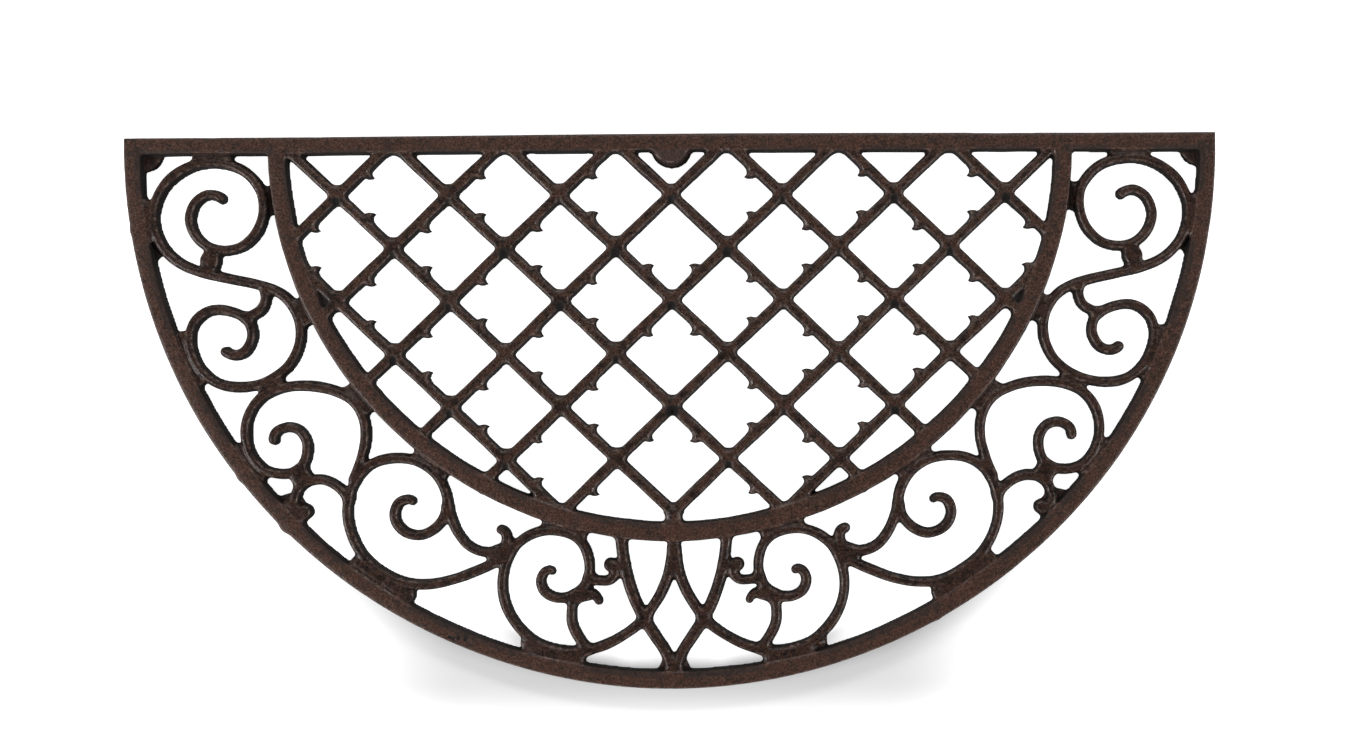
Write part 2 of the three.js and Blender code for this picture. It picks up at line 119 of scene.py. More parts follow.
def bumps(height, spacing, seed):
    """Even bumps over the whole grid, about as high and as wide as said, from a spline over random knots."""
    random = np.random.default_rng(seed)
    knots = [int((axis[-1] - axis[0]) / spacing) + 5 for axis in (ys, xs)]
    values = random.uniform(-KNOT_RANGE, KNOT_RANGE, knots)
    for direction, axis in enumerate((ys, xs)):
        place = (axis - axis[0]) / spacing
        first = np.floor(place).astype(int)
        share = place - first
        weights = [(1 - share) ** 3, 3 * share**3 - 6 * share**2 + 4,
                   -3 * share**3 + 3 * share**2 + 3 * share + 1, share**3]
        shape = (-1, 1) if direction == 0 else (1, -1)
        values = sum(np.take(values, first + i, axis=direction) * weight.reshape(shape) / 6
                     for i, weight in enumerate(weights))
    return height * values


# The pattern was cut by hand and the sand gives a little: bars wander, swell and sink by tenths
warped_x = grid_x + bumps(height=0.45, spacing=45, seed=11)
warped_y = grid_y + bumps(height=0.45, spacing=45, seed=12)
swelling = bumps(height=0.22, spacing=11, seed=13) + bumps(height=0.09, spacing=4, seed=14)
lift = bumps(height=0.2, spacing=15, seed=15) + bumps(height=0.1, spacing=5, seed=16)


class Profile:
    """How far a form's side has moved in at a height: a draft, then a rounded shoulder, then the top.

    The shoulder is crown high and edge wide. The top lies drop under the frame's, or at its own height, and
    past it the side moves in by slope for each millimetre.
    """

    def __init__(self, crown, edge, drop=0.0, top=None, draft=0.075, base=UNDERSIDE, slope=25.0):
        self.top = FRAME_TOP - drop if top is None else top
        self.crown, self.edge, self.draft, self.base, self.slope = crown, edge, draft, base, slope

    def inset(self, z):
        turn = np.clip((z - self.top + self.crown) / self.crown, 0, 1)
        shoulder = self.edge * (1 - np.sqrt(1 - turn**2))
        return self.draft * (z - self.base) + shoulder + self.slope * np.maximum(z - self.top, 0)


FRAME_PROFILE = Profile(crown=1.4, edge=1.4)
LATTICE_PROFILE = Profile(crown=2.4, edge=2.0, drop=1.0)
SCROLL_PROFILE = Profile(crown=3.6, edge=2.3, drop=0.8)
COLLAR_PROFILE = Profile(crown=2.8, edge=2.1, drop=0.9, slope=10)
THORN_PROFILE = Profile(crown=2.6, edge=1.0, drop=2.4, slope=1.3)
FOOT_PROFILE = Profile(crown=1.2, edge=0.9, top=7.0, base=0, slope=6)
LUG_PROFILE = Profile(crown=2.8, edge=2.4, drop=0.2, draft=0.1)
# Heights of the webs of iron that fill narrow corners
LOW_WEB_TOP, WEB_TOP, HIGH_WEB_TOP = 8.5, 12.0, 13.2


def web_profile(top):
    return Profile(crown=2.0, edge=1.4, top=top, slope=3)


def window_of(points, room=0.0):
    """The part of the grid that holds points and the room round them, with a margin."""
    low, high = np.min(points, 0) - room - MARGIN, np.max(points, 0) + room + MARGIN
    return tuple(slice(*np.searchsorted(axis, (low[i], high[i]))) for axis, i in ((ys, 1), (xs, 0)))


def seen_from(outer, window):
    """A window's place in an outer one, cut off at the outer one's start."""
    return tuple(slice(max(own.start - whole.start, 0), max(own.stop - whole.start, 0))
                 for own, whole in zip(window, outer))


# The fillet where forms and members run into each other, and what the grid's rounding takes off their sides
JOIN = 3.0
GROWTH = 0.3


class Form:
    """A signed distance in plan, in its window of the grid, and the profile that gives it a height."""

    def __init__(self, window, plan, profile, fillet=JOIN):
        self.window, self.profile, self.fillet = window, profile, fillet
        self.plan = plan + swelling[window] - GROWTH

    def field(self, z):
        height = z if np.isscalar(z) else z[self.window]
        return self.plan + self.profile.inset(height - lift[self.window])


def blend_in(whole, part, reach):
    """The union of two fields, with a fillet about as wide as reach."""
    share = np.maximum(reach - np.abs(whole - part), 0) / reach
    return np.minimum(whole, part) - share**2 * reach / 4


class Member:
    """A named member of the casting, made of forms."""

    def __init__(self, name, forms):
        self.name, self.forms = name, forms
        self.window = tuple(slice(min(own.start for own in parts), max(own.stop for own in parts))
                            for parts in zip(*(form.window for form in forms)))
        self.is_foot = "foot" in name

    def field(self, z):
        whole = np.full(grid_x[self.window].shape, FAR)
        for form in self.forms:
            inner = seen_from(self.window, form.window)
            whole[inner] = blend_in(whole[inner], form.field(z), form.fillet)
        return whole


# Plan distances
def to_segment(x, y, start, end):
    """Distance to a straight line from start to end, and how far along it the nearest point is, 0 to 1."""
    px, py, dx, dy = x - start[0], y - start[1], end[0] - start[0], end[1] - start[1]
    along = np.clip((px * dx + py * dy) / max(dx * dx + dy * dy, TINY), 0, 1)
    return np.hypot(px - along * dx, py - along * dy), along


def thick_line(points, radii, room, profile):
    """A form along a line of points. Radii are its half widths at the points, room what its window adds."""
    window = window_of(points, room)
    x, y = warped_x[window], warped_y[window]
    plan = np.full(x.shape, FAR)
    for start, end, ra, rb in zip(points[:-1], points[1:], radii[:-1], radii[1:]):
        near = seen_from(window, window_of([start, end]))
        distance, along = to_segment(x[near], y[near], start, end)
        plan[near] = np.minimum(plan[near], distance - (ra + along * (rb - ra)))
    return Form(window, plan, profile)


def to_ellipse(x, y, half_span, depth):
    """Signed distance to an ellipse about the origin, good near its line."""
    share = np.hypot(x / half_span, y / depth)
    steepness = np.hypot(x / half_span**2, y / depth**2)
    return (share - 1) * share / np.maximum(steepness, TINY)


def to_polygon(x, y, corners):
    """Signed distance to a closed polygon."""
    nearest = np.full(x.shape, FAR)
    inside = np.zeros(x.shape, bool)
    for start, end in zip(corners, corners[1:] + corners[:1]):
        (ax, ay), (bx, by) = start, end
        nearest = np.minimum(nearest, to_segment(x, y, start, end)[0])
        crosses = (ay > y) != (by > y)
        inside ^= crosses & (x < ax + (y - ay) * (bx - ax) / (by - ay or TINY))
    return np.where(inside, -nearest, nearest)


def curve_through(points, steps=8):
    """The same centripetal curve through drawn points as the CAD's strokes."""
    points = np.array(points, float)
    ends = np.vstack([2 * points[0] - points[1], points, 2 * points[-1] - points[-2]])
    shares = np.arange(steps)[:, None] / steps
    line = []
    for p0, p1, p2, p3 in zip(ends, ends[1:], ends[2:], ends[3:]):
        t0, t1, t2 = (math.sqrt(math.dist(a, b)) for a, b in ((p0, p1), (p1, p2), (p2, p3)))
        start = ((p1 - p0) / t0 - (p2 - p0) / (t0 + t1) + (p2 - p1) / t1) * t1
        end = ((p2 - p1) / t1 - (p3 - p1) / (t1 + t2) + (p3 - p2) / t2) * t1
        line.append(p1 + shares * start + shares**2 * (3 * (p2 - p1) - 2 * start - end)
                    + shares**3 * (2 * (p1 - p2) + start + end))
    return np.vstack([*line, points[-1:]])


# A free tip begins to narrow or swell this far from its end, and a curl's tip swells by so much on each side
TIP_TAPER = 14.0
TIP_SWELLING = 0.15
BOTH_FREE, FREE_START, FREE_END, NOT_FREE = (True, True), (True, False), (False, True), (False, False)


def stroke(points, side, width=SCROLL_WIDTH, tips=NOT_FREE, thinning=-TIP_SWELLING):
    """A scroll's bar along a curve. Towards a free tip its sides come in by the thinning."""
    line = curve_through(points)
    radii = np.full(len(line), width / 2)
    run = np.concatenate([[0], np.cumsum(np.hypot(*np.diff(line, axis=0).T))])
    for free, reach in zip(tips, (run, run[-1] - run)):
        if free:
            radii = radii - thinning * (1 - np.clip(reach / TIP_TAPER, 0, 1)) ** 1.5
    kept = np.ones(len(line), bool)
    if tips[0]:
        kept &= run >= radii[0]
    if tips[1]:
        kept &= run[-1] - run >= radii[-1]
    return thick_line(line[kept] * (side, 1), radii[kept], width, SCROLL_PROFILE)


def plank(start, end, width, profile):
    """A short straight bar or web with round ends."""
    return thick_line([start, end], [width / 2] * 2, width / 2, profile)


def disc(x, y, radius, profile):
    """A round pad or knob."""
    window = window_of([(x, y)], radius)
    return Form(window, np.hypot(warped_x[window] - x, warped_y[window] - y) - radius, profile)


# The frame. The rim isn't quite round: at an angle from its right end, in degrees, its middle line stands out
# from the circle, and each side from that line, by so many millimetres.
RIM_BULGE = [(0, 0.0), (35, 0.8), (70, 0.1), (85, 0.0), (100, 0.0), (115, 0.2), (150, 1.5), (180, 0.9)]
RIM_THICKENING = [(0, 0.0), (20, 0.7), (95, 0.7), (110, 0.15), (180, 0.15)]
# Small lumps on its outer edge: angle and reach in degrees, height
RIM_FLAWS = [(135.4, 0.7, 1.5), (142.4, 0.5, 0.8), (171.0, 0.4, 0.5), (61.0, 0.5, 0.5)]
# The back bar bows a little: how far its back and front edges stand further back, along X
BAR_BACK_RISE = [(-360, 0.1), (-240, 0.1), (-150, 0.5), (-50, 1.0), (40, 1.1), (110, 0.9), (200, 0.5),
                 (280, 0.0)]
BAR_FRONT_RISE = [(-200, -0.1), (-80, 0.4), (20, 0.6), (80, 0.0), (150, -0.5), (230, -0.2), (300, -0.8)]
# The arch's inner and outer edges stand out by so much, at angles as on the rim
ARCH_INWARD = [(0, 1.0), (15, 0.4), (30, 0.5), (45, 0.6), (55, 1.0), (105, 0.9), (120, 1.2), (135, 0.2),
               (150, 0.0), (160, -0.6), (172, 0.0)]
ARCH_OUTWARD = [(0, -0.4), (10, 0.0), (155, 0.0), (165, 0.8), (180, 0.5)]
# The rim and the arch end inside the back bar, this far past its middle line
END_IN_BAR = 1.0

everywhere = (slice(0, GRID[0]), slice(0, GRID[1]))
inside_arch = window_of([(-ARCH_HALF_SPAN, -ARCH_DEPTH), (ARCH_HALF_SPAN, 0)])
bar_window = window_of([(-RIM_RADIUS, -BAR_WIDTH / 2), (RIM_RADIUS, BAR_WIDTH / 2)])
round_angle = np.degrees(np.arctan2(np.maximum(-grid_y, 0), grid_x))
bulge = np.interp(round_angle, *zip(*RIM_BULGE))
thickening = np.interp(round_angle, *zip(*RIM_THICKENING))
flaws = sum(height * np.exp(-((round_angle - angle) / reach) ** 2) for angle, reach, height in RIM_FLAWS)
bar_end = RIM_RADIUS + bulge + thickening
bar_back = BAR_WIDTH / 2 + np.interp(grid_x, *zip(*BAR_BACK_RISE))
bar_front = BAR_WIDTH / 2 - np.interp(grid_x, *zip(*BAR_FRONT_RISE))
bar_plan = np.maximum(np.maximum(warped_y - bar_back, -warped_y - bar_front), np.abs(grid_x) - bar_end)
from_rim = np.hypot(warped_x, warped_y) - rim_centre - bulge
rim_plan = np.maximum(from_rim - flaws, -from_rim) - RIM_WIDTH / 2 - thickening
rim_plan = np.maximum(rim_plan, grid_y - END_IN_BAR)
arch_inward = np.interp(round_angle, *zip(*ARCH_INWARD))
arch_outward = np.interp(round_angle, *zip(*ARCH_OUTWARD))
from_arch = to_ellipse(warped_x, warped_y, ARCH_HALF_SPAN, ARCH_DEPTH)
arch_plan = np.maximum(from_arch - arch_outward, -from_arch - arch_inward) - ARCH_WIDTH / 2
arch_plan = np.maximum(arch_plan, grid_y - END_IN_BAR)
members = [
    Member("back_bar", [Form(bar_window, bar_plan[bar_window], FRAME_PROFILE)]),
    Member("outer_rim", [Form(everywhere, rim_plan, FRAME_PROFILE)]),
    Member("inner_arch", [Form(inside_arch, arch_plan[inside_arch], FRAME_PROFILE)]),
]
frame_count = len(members)

# Nothing passes the mat's outline
outline_plan = np.where(grid_y > 0, np.maximum(np.abs(grid_x) - bar_end, grid_y - bar_back),
                        np.hypot(grid_x, grid_y) - bar_end - flaws)


# The lattice
def arch_share(x, y):
    """How far out a point lies in the arch's opening: 0 in the middle, 1 at its edge."""
    return math.hypot(x / (ARCH_HALF_SPAN - ARCH_WIDTH / 2), y / (ARCH_DEPTH - ARCH_WIDTH / 2))


slope = ROW_SPACING / COLUMN_SPACING
lattice_reach = 2 * math.ceil(ARCH_HALF_SPAN / COLUMN_SPACING)


def lattice_span(column):
    """Where a slanting lattice line starts and ends along X, or None if it meets no other inside the arch."""
    rise = FIRST_ROW + column * ROW_SPACING
    a = (1 / ARCH_HALF_SPAN) ** 2 + (slope / ARCH_DEPTH) ** 2
    b = 2 * slope * rise / ARCH_DEPTH**2
    root = b * b - 4 * a * ((rise / ARCH_DEPTH) ** 2 - 1)
    if root <= 0:
        return None
    start = max(-rise / slope, (-b - math.sqrt(root)) / (2 * a))
    end = (-b + math.sqrt(root)) / (2 * a)
    crossings = range(math.ceil(start / COLUMN_SPACING), math.ceil(end / COLUMN_SPACING))
    depths = [(step * COLUMN_SPACING, rise + slope * (step * COLUMN_SPACING)) for step in crossings]
    inside = any(depth > BAR_WIDTH / 2 and arch_share(x, depth) < 1 for x, depth in depths)
    return (start, end) if inside else None


lattice_spans = {c: lattice_span(c) for c in range(-lattice_reach, lattice_reach + 1, 2)}

# In the middle the last crossing runs into the arch with one short neck
last_crossing = -FIRST_ROW - 2 * ROW_SPACING * math.floor((ARCH_DEPTH - FIRST_ROW) / (2 * ROW_SPACING))
NECK_WIDTH = 10.6
NECK_WEB_WIDTH = NECK_WIDTH - 2
NECK_DROP = 0.3


def lattice_family(side):
    """All the lattice bars that slant one way."""
    distance = np.full(grid_x[inside_arch].shape, FAR)
    x, y = warped_x[inside_arch], warped_y[inside_arch]
    length = math.hypot(1, slope)
    for column, span in lattice_spans.items():
        if span is None:
            continue
        start, end = span
        across = np.abs(y + FIRST_ROW + column * ROW_SPACING + slope * side * x) / length - LATTICE_WIDTH / 2
        beyond = np.maximum(start - side * x, side * x - end)
        distance = np.minimum(distance, np.maximum(across, beyond))
    beside_neck = np.minimum(np.abs(x) - NECK_WIDTH / 2, last_crossing - y)
    return Form(inside_arch, np.maximum(distance, beside_neck), LATTICE_PROFILE)


# A thorn's outline: run along the bar from the middle of a cell's edge, and reach from the bar's middle line.
# Thorns differ a little in size and lean.
THORN = [(-4.6, 0), (-4.6, 3.4), (-3.9, 4.3), (-2.9, 6.1), (-1.7, 7.4), (-0.4, 8.1), (1.2, 8.7), (0.9, 7.5),
         (1.2, 6.2), (2.0, 5.0), (3.4, 4.1), (5.4, 3.5), (5.4, 0)]
THORN_FILLET = 0.8
THORN_SIZES = 0.92, 1.06
THORN_LEANS = -0.06, 0.06
along_x, along_y = np.array([COLUMN_SPACING, ROW_SPACING]) / math.hypot(COLUMN_SPACING, ROW_SPACING)


def on_cell_edge(cell_x, cell_y, side, rise, run, depth):
    """A point at an edge of the lattice cell round (cell_x, cell_y): run along the edge, depth across it."""
    x = -COLUMN_SPACING / 2 + along_x * run - along_y * depth
    y = ROW_SPACING / 2 + along_y * run + along_x * depth
    return cell_x - side * x, cell_y + rise * y


def lattice_points(parity):
    """The crossings (parity 0) or the cell centres (parity 1) of the lattice's right half."""
    rows = (ARCH_DEPTH - FIRST_ROW) / ROW_SPACING + 1
    for column in range(lattice_reach + 1):
        for row in range((column + parity) % 2, math.ceil(rows), 2):
            yield column, row, column * COLUMN_SPACING, -(FIRST_ROW + row * ROW_SPACING)


# Scars in the front of the rim: place and how dark
RIM_SCARS = [(-148, -326, 0.9), (-145.5, -327.2, 0.9), (-142, -327, 0.9), (-137.5, -328, 0.8),
             (-93, -343.6, 0.3)]
SCAR_REACH, SCAR_DEPTH = 1.2, 0.4
# Pits in the lattice's crossings, up to a share of the way to the arch
PIT_OFFSET, PIT_REACH = 3.6, 2.2
PIT_DEPTHS = 0.2, 2.6
# How dark a pit's painted shade gets for each millimetre of its depth
PIT_PAINTED_SHADE = 0.3
LAST_PIT_SHARE = 0.94
# Darkening in plan: the rim's real scars, and painted shade in pits and pockets
scars_and_painted_pit_shade = np.zeros(GRID)


def spot(x, y, reach, ahead=0.0):
    """The window round a point, and a spot in it that fades from 1 over about reach, ahead of the point."""
    near = window_of([(x, y)])
    apart = np.hypot(grid_x[near] - x, grid_y[near] - y + ahead)
    return near, np.exp(-(apart / reach) ** 2)


def scar_rim():
    for x, y, darkness in RIM_SCARS:
        near, scar = spot(x, y, SCAR_REACH)
        lift[near] -= SCAR_DEPTH * scar
        scars_and_painted_pit_shade[near] += darkness * scar


def sink_crossings():
    """A pit in most crossings, on the side towards the front, where the sand fell in."""
    random = np.random.default_rng(22)
    for _, _, x, y in lattice_points(0):
        if arch_share(x, y) > LAST_PIT_SHARE:
            continue
        for side in (1, -1):
            depth = random.uniform(*PIT_DEPTHS)
            near, pit = spot(side * x, y, PIT_REACH, PIT_OFFSET)
            lift[near] -= depth * pit
            # Painted shade in and round the pit, darker for a deeper pit
            near, dark = spot(side * x, y, 2 * PIT_REACH, PIT_OFFSET)
            scars_and_painted_pit_shade[near] += PIT_PAINTED_SHADE * depth * dark


def lattice_thorns():
    """One thorn on each edge of a cell, where the edge's line is kept."""
    distance = np.full(GRID, FAR)
    random = np.random.default_rng(21)
    for column, row, x, y in lattice_points(1):
        for rise in [1, -1] if column else [-1 if row == 1 else 1]:
            line = row - rise * (column + 1)
            root = on_cell_edge(x, y, 1, rise, 0, -LATTICE_WIDTH / 2)
            if lattice_spans.get(line) is None or arch_share(*root) > 1:
                continue
            for side in (1, -1):
                size, lean = random.uniform(*THORN_SIZES), random.uniform(*THORN_LEANS)
                outline = [(run * size + lean * reach, -reach * size) for run, reach in THORN]
                corners = [on_cell_edge(side * x, y, side, rise, *point) for point in outline]
                near = window_of(corners)
                own = to_polygon(warped_x[near], warped_y[near], corners)
                distance[near] = np.minimum(distance[near], own)
    return Form(inside_arch, distance[inside_arch], THORN_PROFILE, THORN_FILLET)


# Low webs fill the corners between the arch and a crossing that is nearer to it than this
POCKET_DEPTH = 12.0
POCKET_WEB_WIDTH = 9.0
# Painted shade in each pocket: how dark, and how far it reaches
POCKET_PAINTED_SHADE, POCKET_PAINTED_SHADE_REACH = 0.6, 4


def pocket_webs():
    fills = []
    for _, _, x, y in lattice_points(0):
        share = arch_share(x, y)
        if x == 0 or share > 1 or (1 / share - 1) * math.hypot(x, y) > POCKET_DEPTH:
            continue
        across = ARCH_HALF_SPAN * math.sqrt(1 - (y / ARCH_DEPTH) ** 2)
        forward = -ARCH_DEPTH * math.sqrt(1 - (x / ARCH_HALF_SPAN) ** 2)
        for side in (1, -1):
            end = (side * across, y) if x > -y else (side * x, forward)
            fills.append(plank((side * x, y), end, POCKET_WEB_WIDTH, web_profile(WEB_TOP)))
            # Painted shade in the pocket
            near, dark = spot((side * x + end[0]) / 2, (y + end[1]) / 2, POCKET_PAINTED_SHADE_REACH)
            scars_and_painted_pit_shade[near] += POCKET_PAINTED_SHADE * dark
    return fills


# For each side: width, how far behind the crossing, and spread along X. The real mat shows more on the left.
CORNER_FILLS = {-1: (6.0, 4.6, 0.7), 1: (4.8, 4.3, 0.2)}
LAST_FILL_SHARE = 0.97


def corner_fills():
    """The rounded corner that each crossing shows on the side towards the back bar."""
    fills = []
    for column, _, x, y in lattice_points(0):
        if arch_share(x, y) > LAST_FILL_SHARE:
            continue
        for side in (1, -1) if column else (1,):
            width, offset, spread = CORNER_FILLS[side]
            ends = [(side * x + end, y + offset) for end in (-spread, spread)]
            fills.append(plank(*ends, width, web_profile(HIGH_WEB_TOP)))
    return fills


scar_rim()
sink_crossings()
thorns = lattice_thorns()
neck = plank((0, last_crossing), (0, -ARCH_DEPTH), NECK_WEB_WIDTH, web_profile(FRAME_TOP - NECK_DROP))
lattice_bars = [lattice_family(1), lattice_family(-1)]
members.append(Member("lattice_panel", [*lattice_bars, *corner_fills(), *pocket_webs(), neck, thorns]))

# The scrollwork, with the CAD's drawn points for the right half. A web's row gives its start, end and width,
# and its top where that isn't WEB_TOP.
SIDE_SCROLL = [
    (297.4, -38.3), (298.9, -34.6), (306.6, -31.9), (315, -36.4), (319.4, -47.5), (316.3, -58.7),
    (308.5, -66.3), (297, -69.1), (285, -66.3), (275.5, -57), (270.8, -43), (273, -29), (284.6, -16),
    (303, -10.9), (321.4, -14.3),
    (336.9, -26.7), (343.6, -46), (339.1, -63.8), (328.5, -76), (314, -82.9), (295, -87.6), (277.5, -91.3),
    (266.5, -94.7), (258.2, -99.4), (252.2, -105.8), (247, -117), (247, -131), (253.5, -144.8),
    (266.5, -155), (284, -159.8),
    (302, -157.2), (315, -145.5), (320.1, -130), (317, -116.5), (306.2, -108.6), (291, -110.4), (281, -117),
    (278.6, -126.5), (283.3, -136), (290, -138.6), (295.3, -137.2), (298.3, -133.2),
]
SIDE_SCROLL_WEBS = [
    ((314.5, -8.5), (295, -8.5), 7),
    ((347.4, -39), (345.3, -59), 8, HIGH_WEB_TOP),
    ((344.7, -64), (343.2, -70), 8, LOW_WEB_TOP),
    ((267.6, -30), (266.2, -41.5), 7.5, LOW_WEB_TOP),
    ((247.5, -105.5), (242.6, -115.5), 8),
    ((325.4, -126), (314, -155), 8),
]
MIDDLE_SCROLL = [
    (263.4, -198.6), (264.7, -194.2), (262.6, -189.2), (255.6, -186.3), (247.6, -188.8), (242.8, -197),
    (244, -208), (249.5, -215), (260, -217.4), (271, -214.6), (279, -206), (283, -193), (281.3, -179.5),
    (273.5, -167.5), (260, -160.8), (243, -159.3), (226, -162.3), (212.5, -169.4), (205.3, -181.5),
    (204.2, -195), (207, -207.5), (212, -221),
]
MIDDLE_SCROLL_WEBS = [
    ((214.5, -163), (203.2, -174.5), 8),
    ((287, -201), (273.5, -218), 8),
    ((271, -162), (261, -156), 6),
]
LOWER_SCROLL = [
    (171.7, -238.3), (174.6, -235.4), (181.5, -236.8), (184.9, -244), (183.3, -251.3), (177.3, -257),
    (168.5, -259), (159.5, -255.3), (152.8, -247.8), (150, -237.5), (152.6, -226.8), (160, -216.3),
    (171, -209.8), (185.5, -207.8), (199, -210.8), (209.5, -220), (215.2, -233.5), (216, -247),
    (212.3, -260.5), (204, -274), (192.5, -283.3), (178, -290.3), (162.5, -291.6), (146, -288.5),
    (130, -282.6), (111.5, -274.5),
]
LOWER_SCROLL_WEBS = [
    ((168.5, -206.5), (153.5, -218.5), 8),
    ((209, -277), (184, -294.5), 11, HIGH_WEB_TOP),
    ((182, -296), (176, -298.5), 9, HIGH_WEB_TOP),
    ((121, -274.6), (113, -272), 5, HIGH_WEB_TOP),
]
LEAF_STEM = [
    (149.8, -240.5), (147, -249), (142.8, -258), (136, -266.3), (127, -270.4), (117.5, -270.4),
    (109.5, -270.5),
]
LEAF_TIP = [(113, -270), (110.9, -265.3), (110.4, -260.6), (111.6, -257.4), (114, -255.7), (117.6, -255.2)]
LEAF_WIDTH = 7.6
LEAF_WEB = ((117.5, -268.6), (112, -267.6), 5, HIGH_WEB_TOP)
FAN_SCROLL = [
    (78.9, -284.8), (81.8, -282.5), (85.7, -284), (87.9, -289.5), (85.5, -296.5), (78.5, -300.6),
    (69.5, -300.4), (61.3, -295.3), (56.6, -286.8), (56.1, -276.5), (60.2, -265.3), (69, -258.2), (82, -256),
    (95.3, -259.3), (105.8, -267.5), (111.7, -279.5), (113.6, -293), (111, -306.5), (103.2, -319.6),
    (91.5, -330.3), (77, -336.3), (61, -336.4), (45, -332.2), (31.5, -324.8), (19.4, -315.5),
]
FAN_SCROLL_WEBS = [
    ((88, -336), (64, -340.3), 11, HIGH_WEB_TOP),
    ((83, -252.8), (61, -258.5), 8),
]
FAN_SHOULDER_WEB = ((97, -331), (91, -334.8), 9)
FAN_SHOULDER_WEB_TOPS = {-1: HIGH_WEB_TOP, 1: 10.5}
FAN_OUTER_ARC = [
    (35.2, -256), (34.3, -268), (32.6, -280), (29.8, -291), (25.8, -302.5), (19.4, -315.5), (12, -327.3),
    (5, -338.3), (0.5, -352),
]
FAN_FOOT_WEB = ((0, -343.5), (0, -350), 6.5)
FAN_APEX_WEB = ((0, -281), (0, -284), 4.5, LOW_WEB_TOP)
FAN_INNER_ARC = [
    (19.4, -315.5), (14.4, -307.6), (9.5, -299.5), (5.8, -291.5), (3.4, -284), (1.9, -277), (0.6, -268),
]
FAN_MIDDLE = [(0, -256), (0, -267), (0, -281)]
FAN_STEM = [(66.3, -300.5), (67.6, -309), (67.3, -317.5), (64, -325.5), (57.5, -335.5)]
FAN_HOOK = [(65.5, -300.2), (59, -297.4), (53, -298.6), (50.1, -302), (49, -305.6)]
FAN_HOOK_WEB = ((64, -302), (57.5, -300.4), 5, HIGH_WEB_TOP)
FAN_CURL = [(56, -288), (50, -289.4), (43.5, -289.3), (39.3, -285.8), (38.3, -281), (34, -279)]
FAN_CURL_KNOB = (42, -279)
LINK = [(282.8, -113.4), (278, -111.8), (272.4, -108), (269.8, -101.5), (270.3, -97)]
UPPER_COLLAR = [(305.2, -71), (307, -81.2)]
LOWER_COLLAR = [(248.3, -216), (246.2, -222)]
RIM_HOOK = [(246.5, -223), (250.2, -230.5), (251.6, -236.5), (249, -241.2), (244.6, -242.2)]
RIM_HOOK_KNOB = (244, -242.4)
RIM_HOOK_WEB = ((254, -237.5), (248.5, -246.5), 9)
RIM_HOOK_WEB_TOPS = {-1: HIGH_WEB_TOP, 1: 10.0}
BRANCH = [(245.6, -222.6), (240, -221.6), (234, -221.3), (227.5, -223.3), (221.5, -227.3), (215.6, -234)]
KNOB_RADIUS = 4.7
COLLAR_WIDTH = 11.4
FAN_MIDDLE_WIDTH = 6.4
OUTER_ARC_WIDTH = 7.9
INNER_ARC_WIDTH = 7.2
# A collar's width at its ends, as a share, and how much of it the barrel adds in the middle
COLLAR_END_SHARE, COLLAR_BARREL_SHARE = 0.72, 0.48
COLLAR_POINTS = 9
SIDES = (-1, "left"), (1, "right")


def webs(rows, side):
    return [plank((side * a[0], a[1]), (side * b[0], b[1]), width, web_profile(*(top or [WEB_TOP])))
            for a, b, width, *top in rows]


def knob(point, side):
    return disc(side * point[0], point[1], KNOB_RADIUS, SCROLL_PROFILE)


def collar(points, side):
    """A thick band: narrower where it meets the curls, and barrel-shaped between them."""
    (x0, y0), (x1, y1) = points
    shares = np.linspace(0, 1, COLLAR_POINTS)
    line = np.array([(side * (x0 + (x1 - x0) * t), y0 + (y1 - y0) * t) for t in shares])
    radii = COLLAR_WIDTH / 2 * (COLLAR_END_SHARE + COLLAR_BARREL_SHARE * np.sin(math.pi * shares) ** 2)
    return thick_line(line, radii, COLLAR_WIDTH, COLLAR_PROFILE)


def scrollwork(side):
    """The forms of each member in one half's scrollwork."""
    shoulder_web = (*FAN_SHOULDER_WEB, FAN_SHOULDER_WEB_TOPS[side])
    hook_web = (*RIM_HOOK_WEB, RIM_HOOK_WEB_TOPS[side])
    return {
        "side_scroll": [stroke(SIDE_SCROLL, side, tips=BOTH_FREE), *webs(SIDE_SCROLL_WEBS, side)],
        "fan_outer_arc": [stroke(FAN_OUTER_ARC, side, OUTER_ARC_WIDTH), *webs([FAN_FOOT_WEB], side)],
        "fan_scroll": [stroke(FAN_SCROLL, side, tips=FREE_START, thinning=1.0),
                       *webs([*FAN_SCROLL_WEBS, shoulder_web], side)],
        "fan_inner_arc": [stroke(FAN_INNER_ARC, side, INNER_ARC_WIDTH), *webs([FAN_APEX_WEB], side)],
        "lower_scroll": [stroke(LOWER_SCROLL, side, tips=FREE_START, thinning=0.8),
                         *webs(LOWER_SCROLL_WEBS, side)],
        "middle_scroll": [stroke(MIDDLE_SCROLL, side, tips=FREE_START), *webs(MIDDLE_SCROLL_WEBS, side)],
        "upper_collar": [collar(UPPER_COLLAR, side)],
        "lower_collar": [collar(LOWER_COLLAR, side)],
        "scroll_link": [stroke(LINK, side)],
        "branch": [stroke(BRANCH, side)],
        "rim_hook": [stroke(RIM_HOOK, side), knob(RIM_HOOK_KNOB, side), *webs([hook_web], side)],
        "leaf_stem": [stroke(LEAF_STEM, side),
                      stroke(LEAF_TIP, side, LEAF_WIDTH, tips=FREE_END, thinning=0.8),
                      *webs([LEAF_WEB], side)],
        "fan_stem": [stroke(FAN_STEM, side)],
        "fan_hook": [stroke(FAN_HOOK, side, tips=FREE_END, thinning=1.0), *webs([FAN_HOOK_WEB], side)],
        "fan_curl": [stroke(FAN_CURL, side), knob(FAN_CURL_KNOB, side)],
    }


members.append(Member("fan_middle", [stroke(FAN_MIDDLE, 1, FAN_MIDDLE_WIDTH)]))
for side, hand in SIDES:
    members += [Member(f"{name}_{hand}", forms) for name, forms in scrollwork(side).items()]

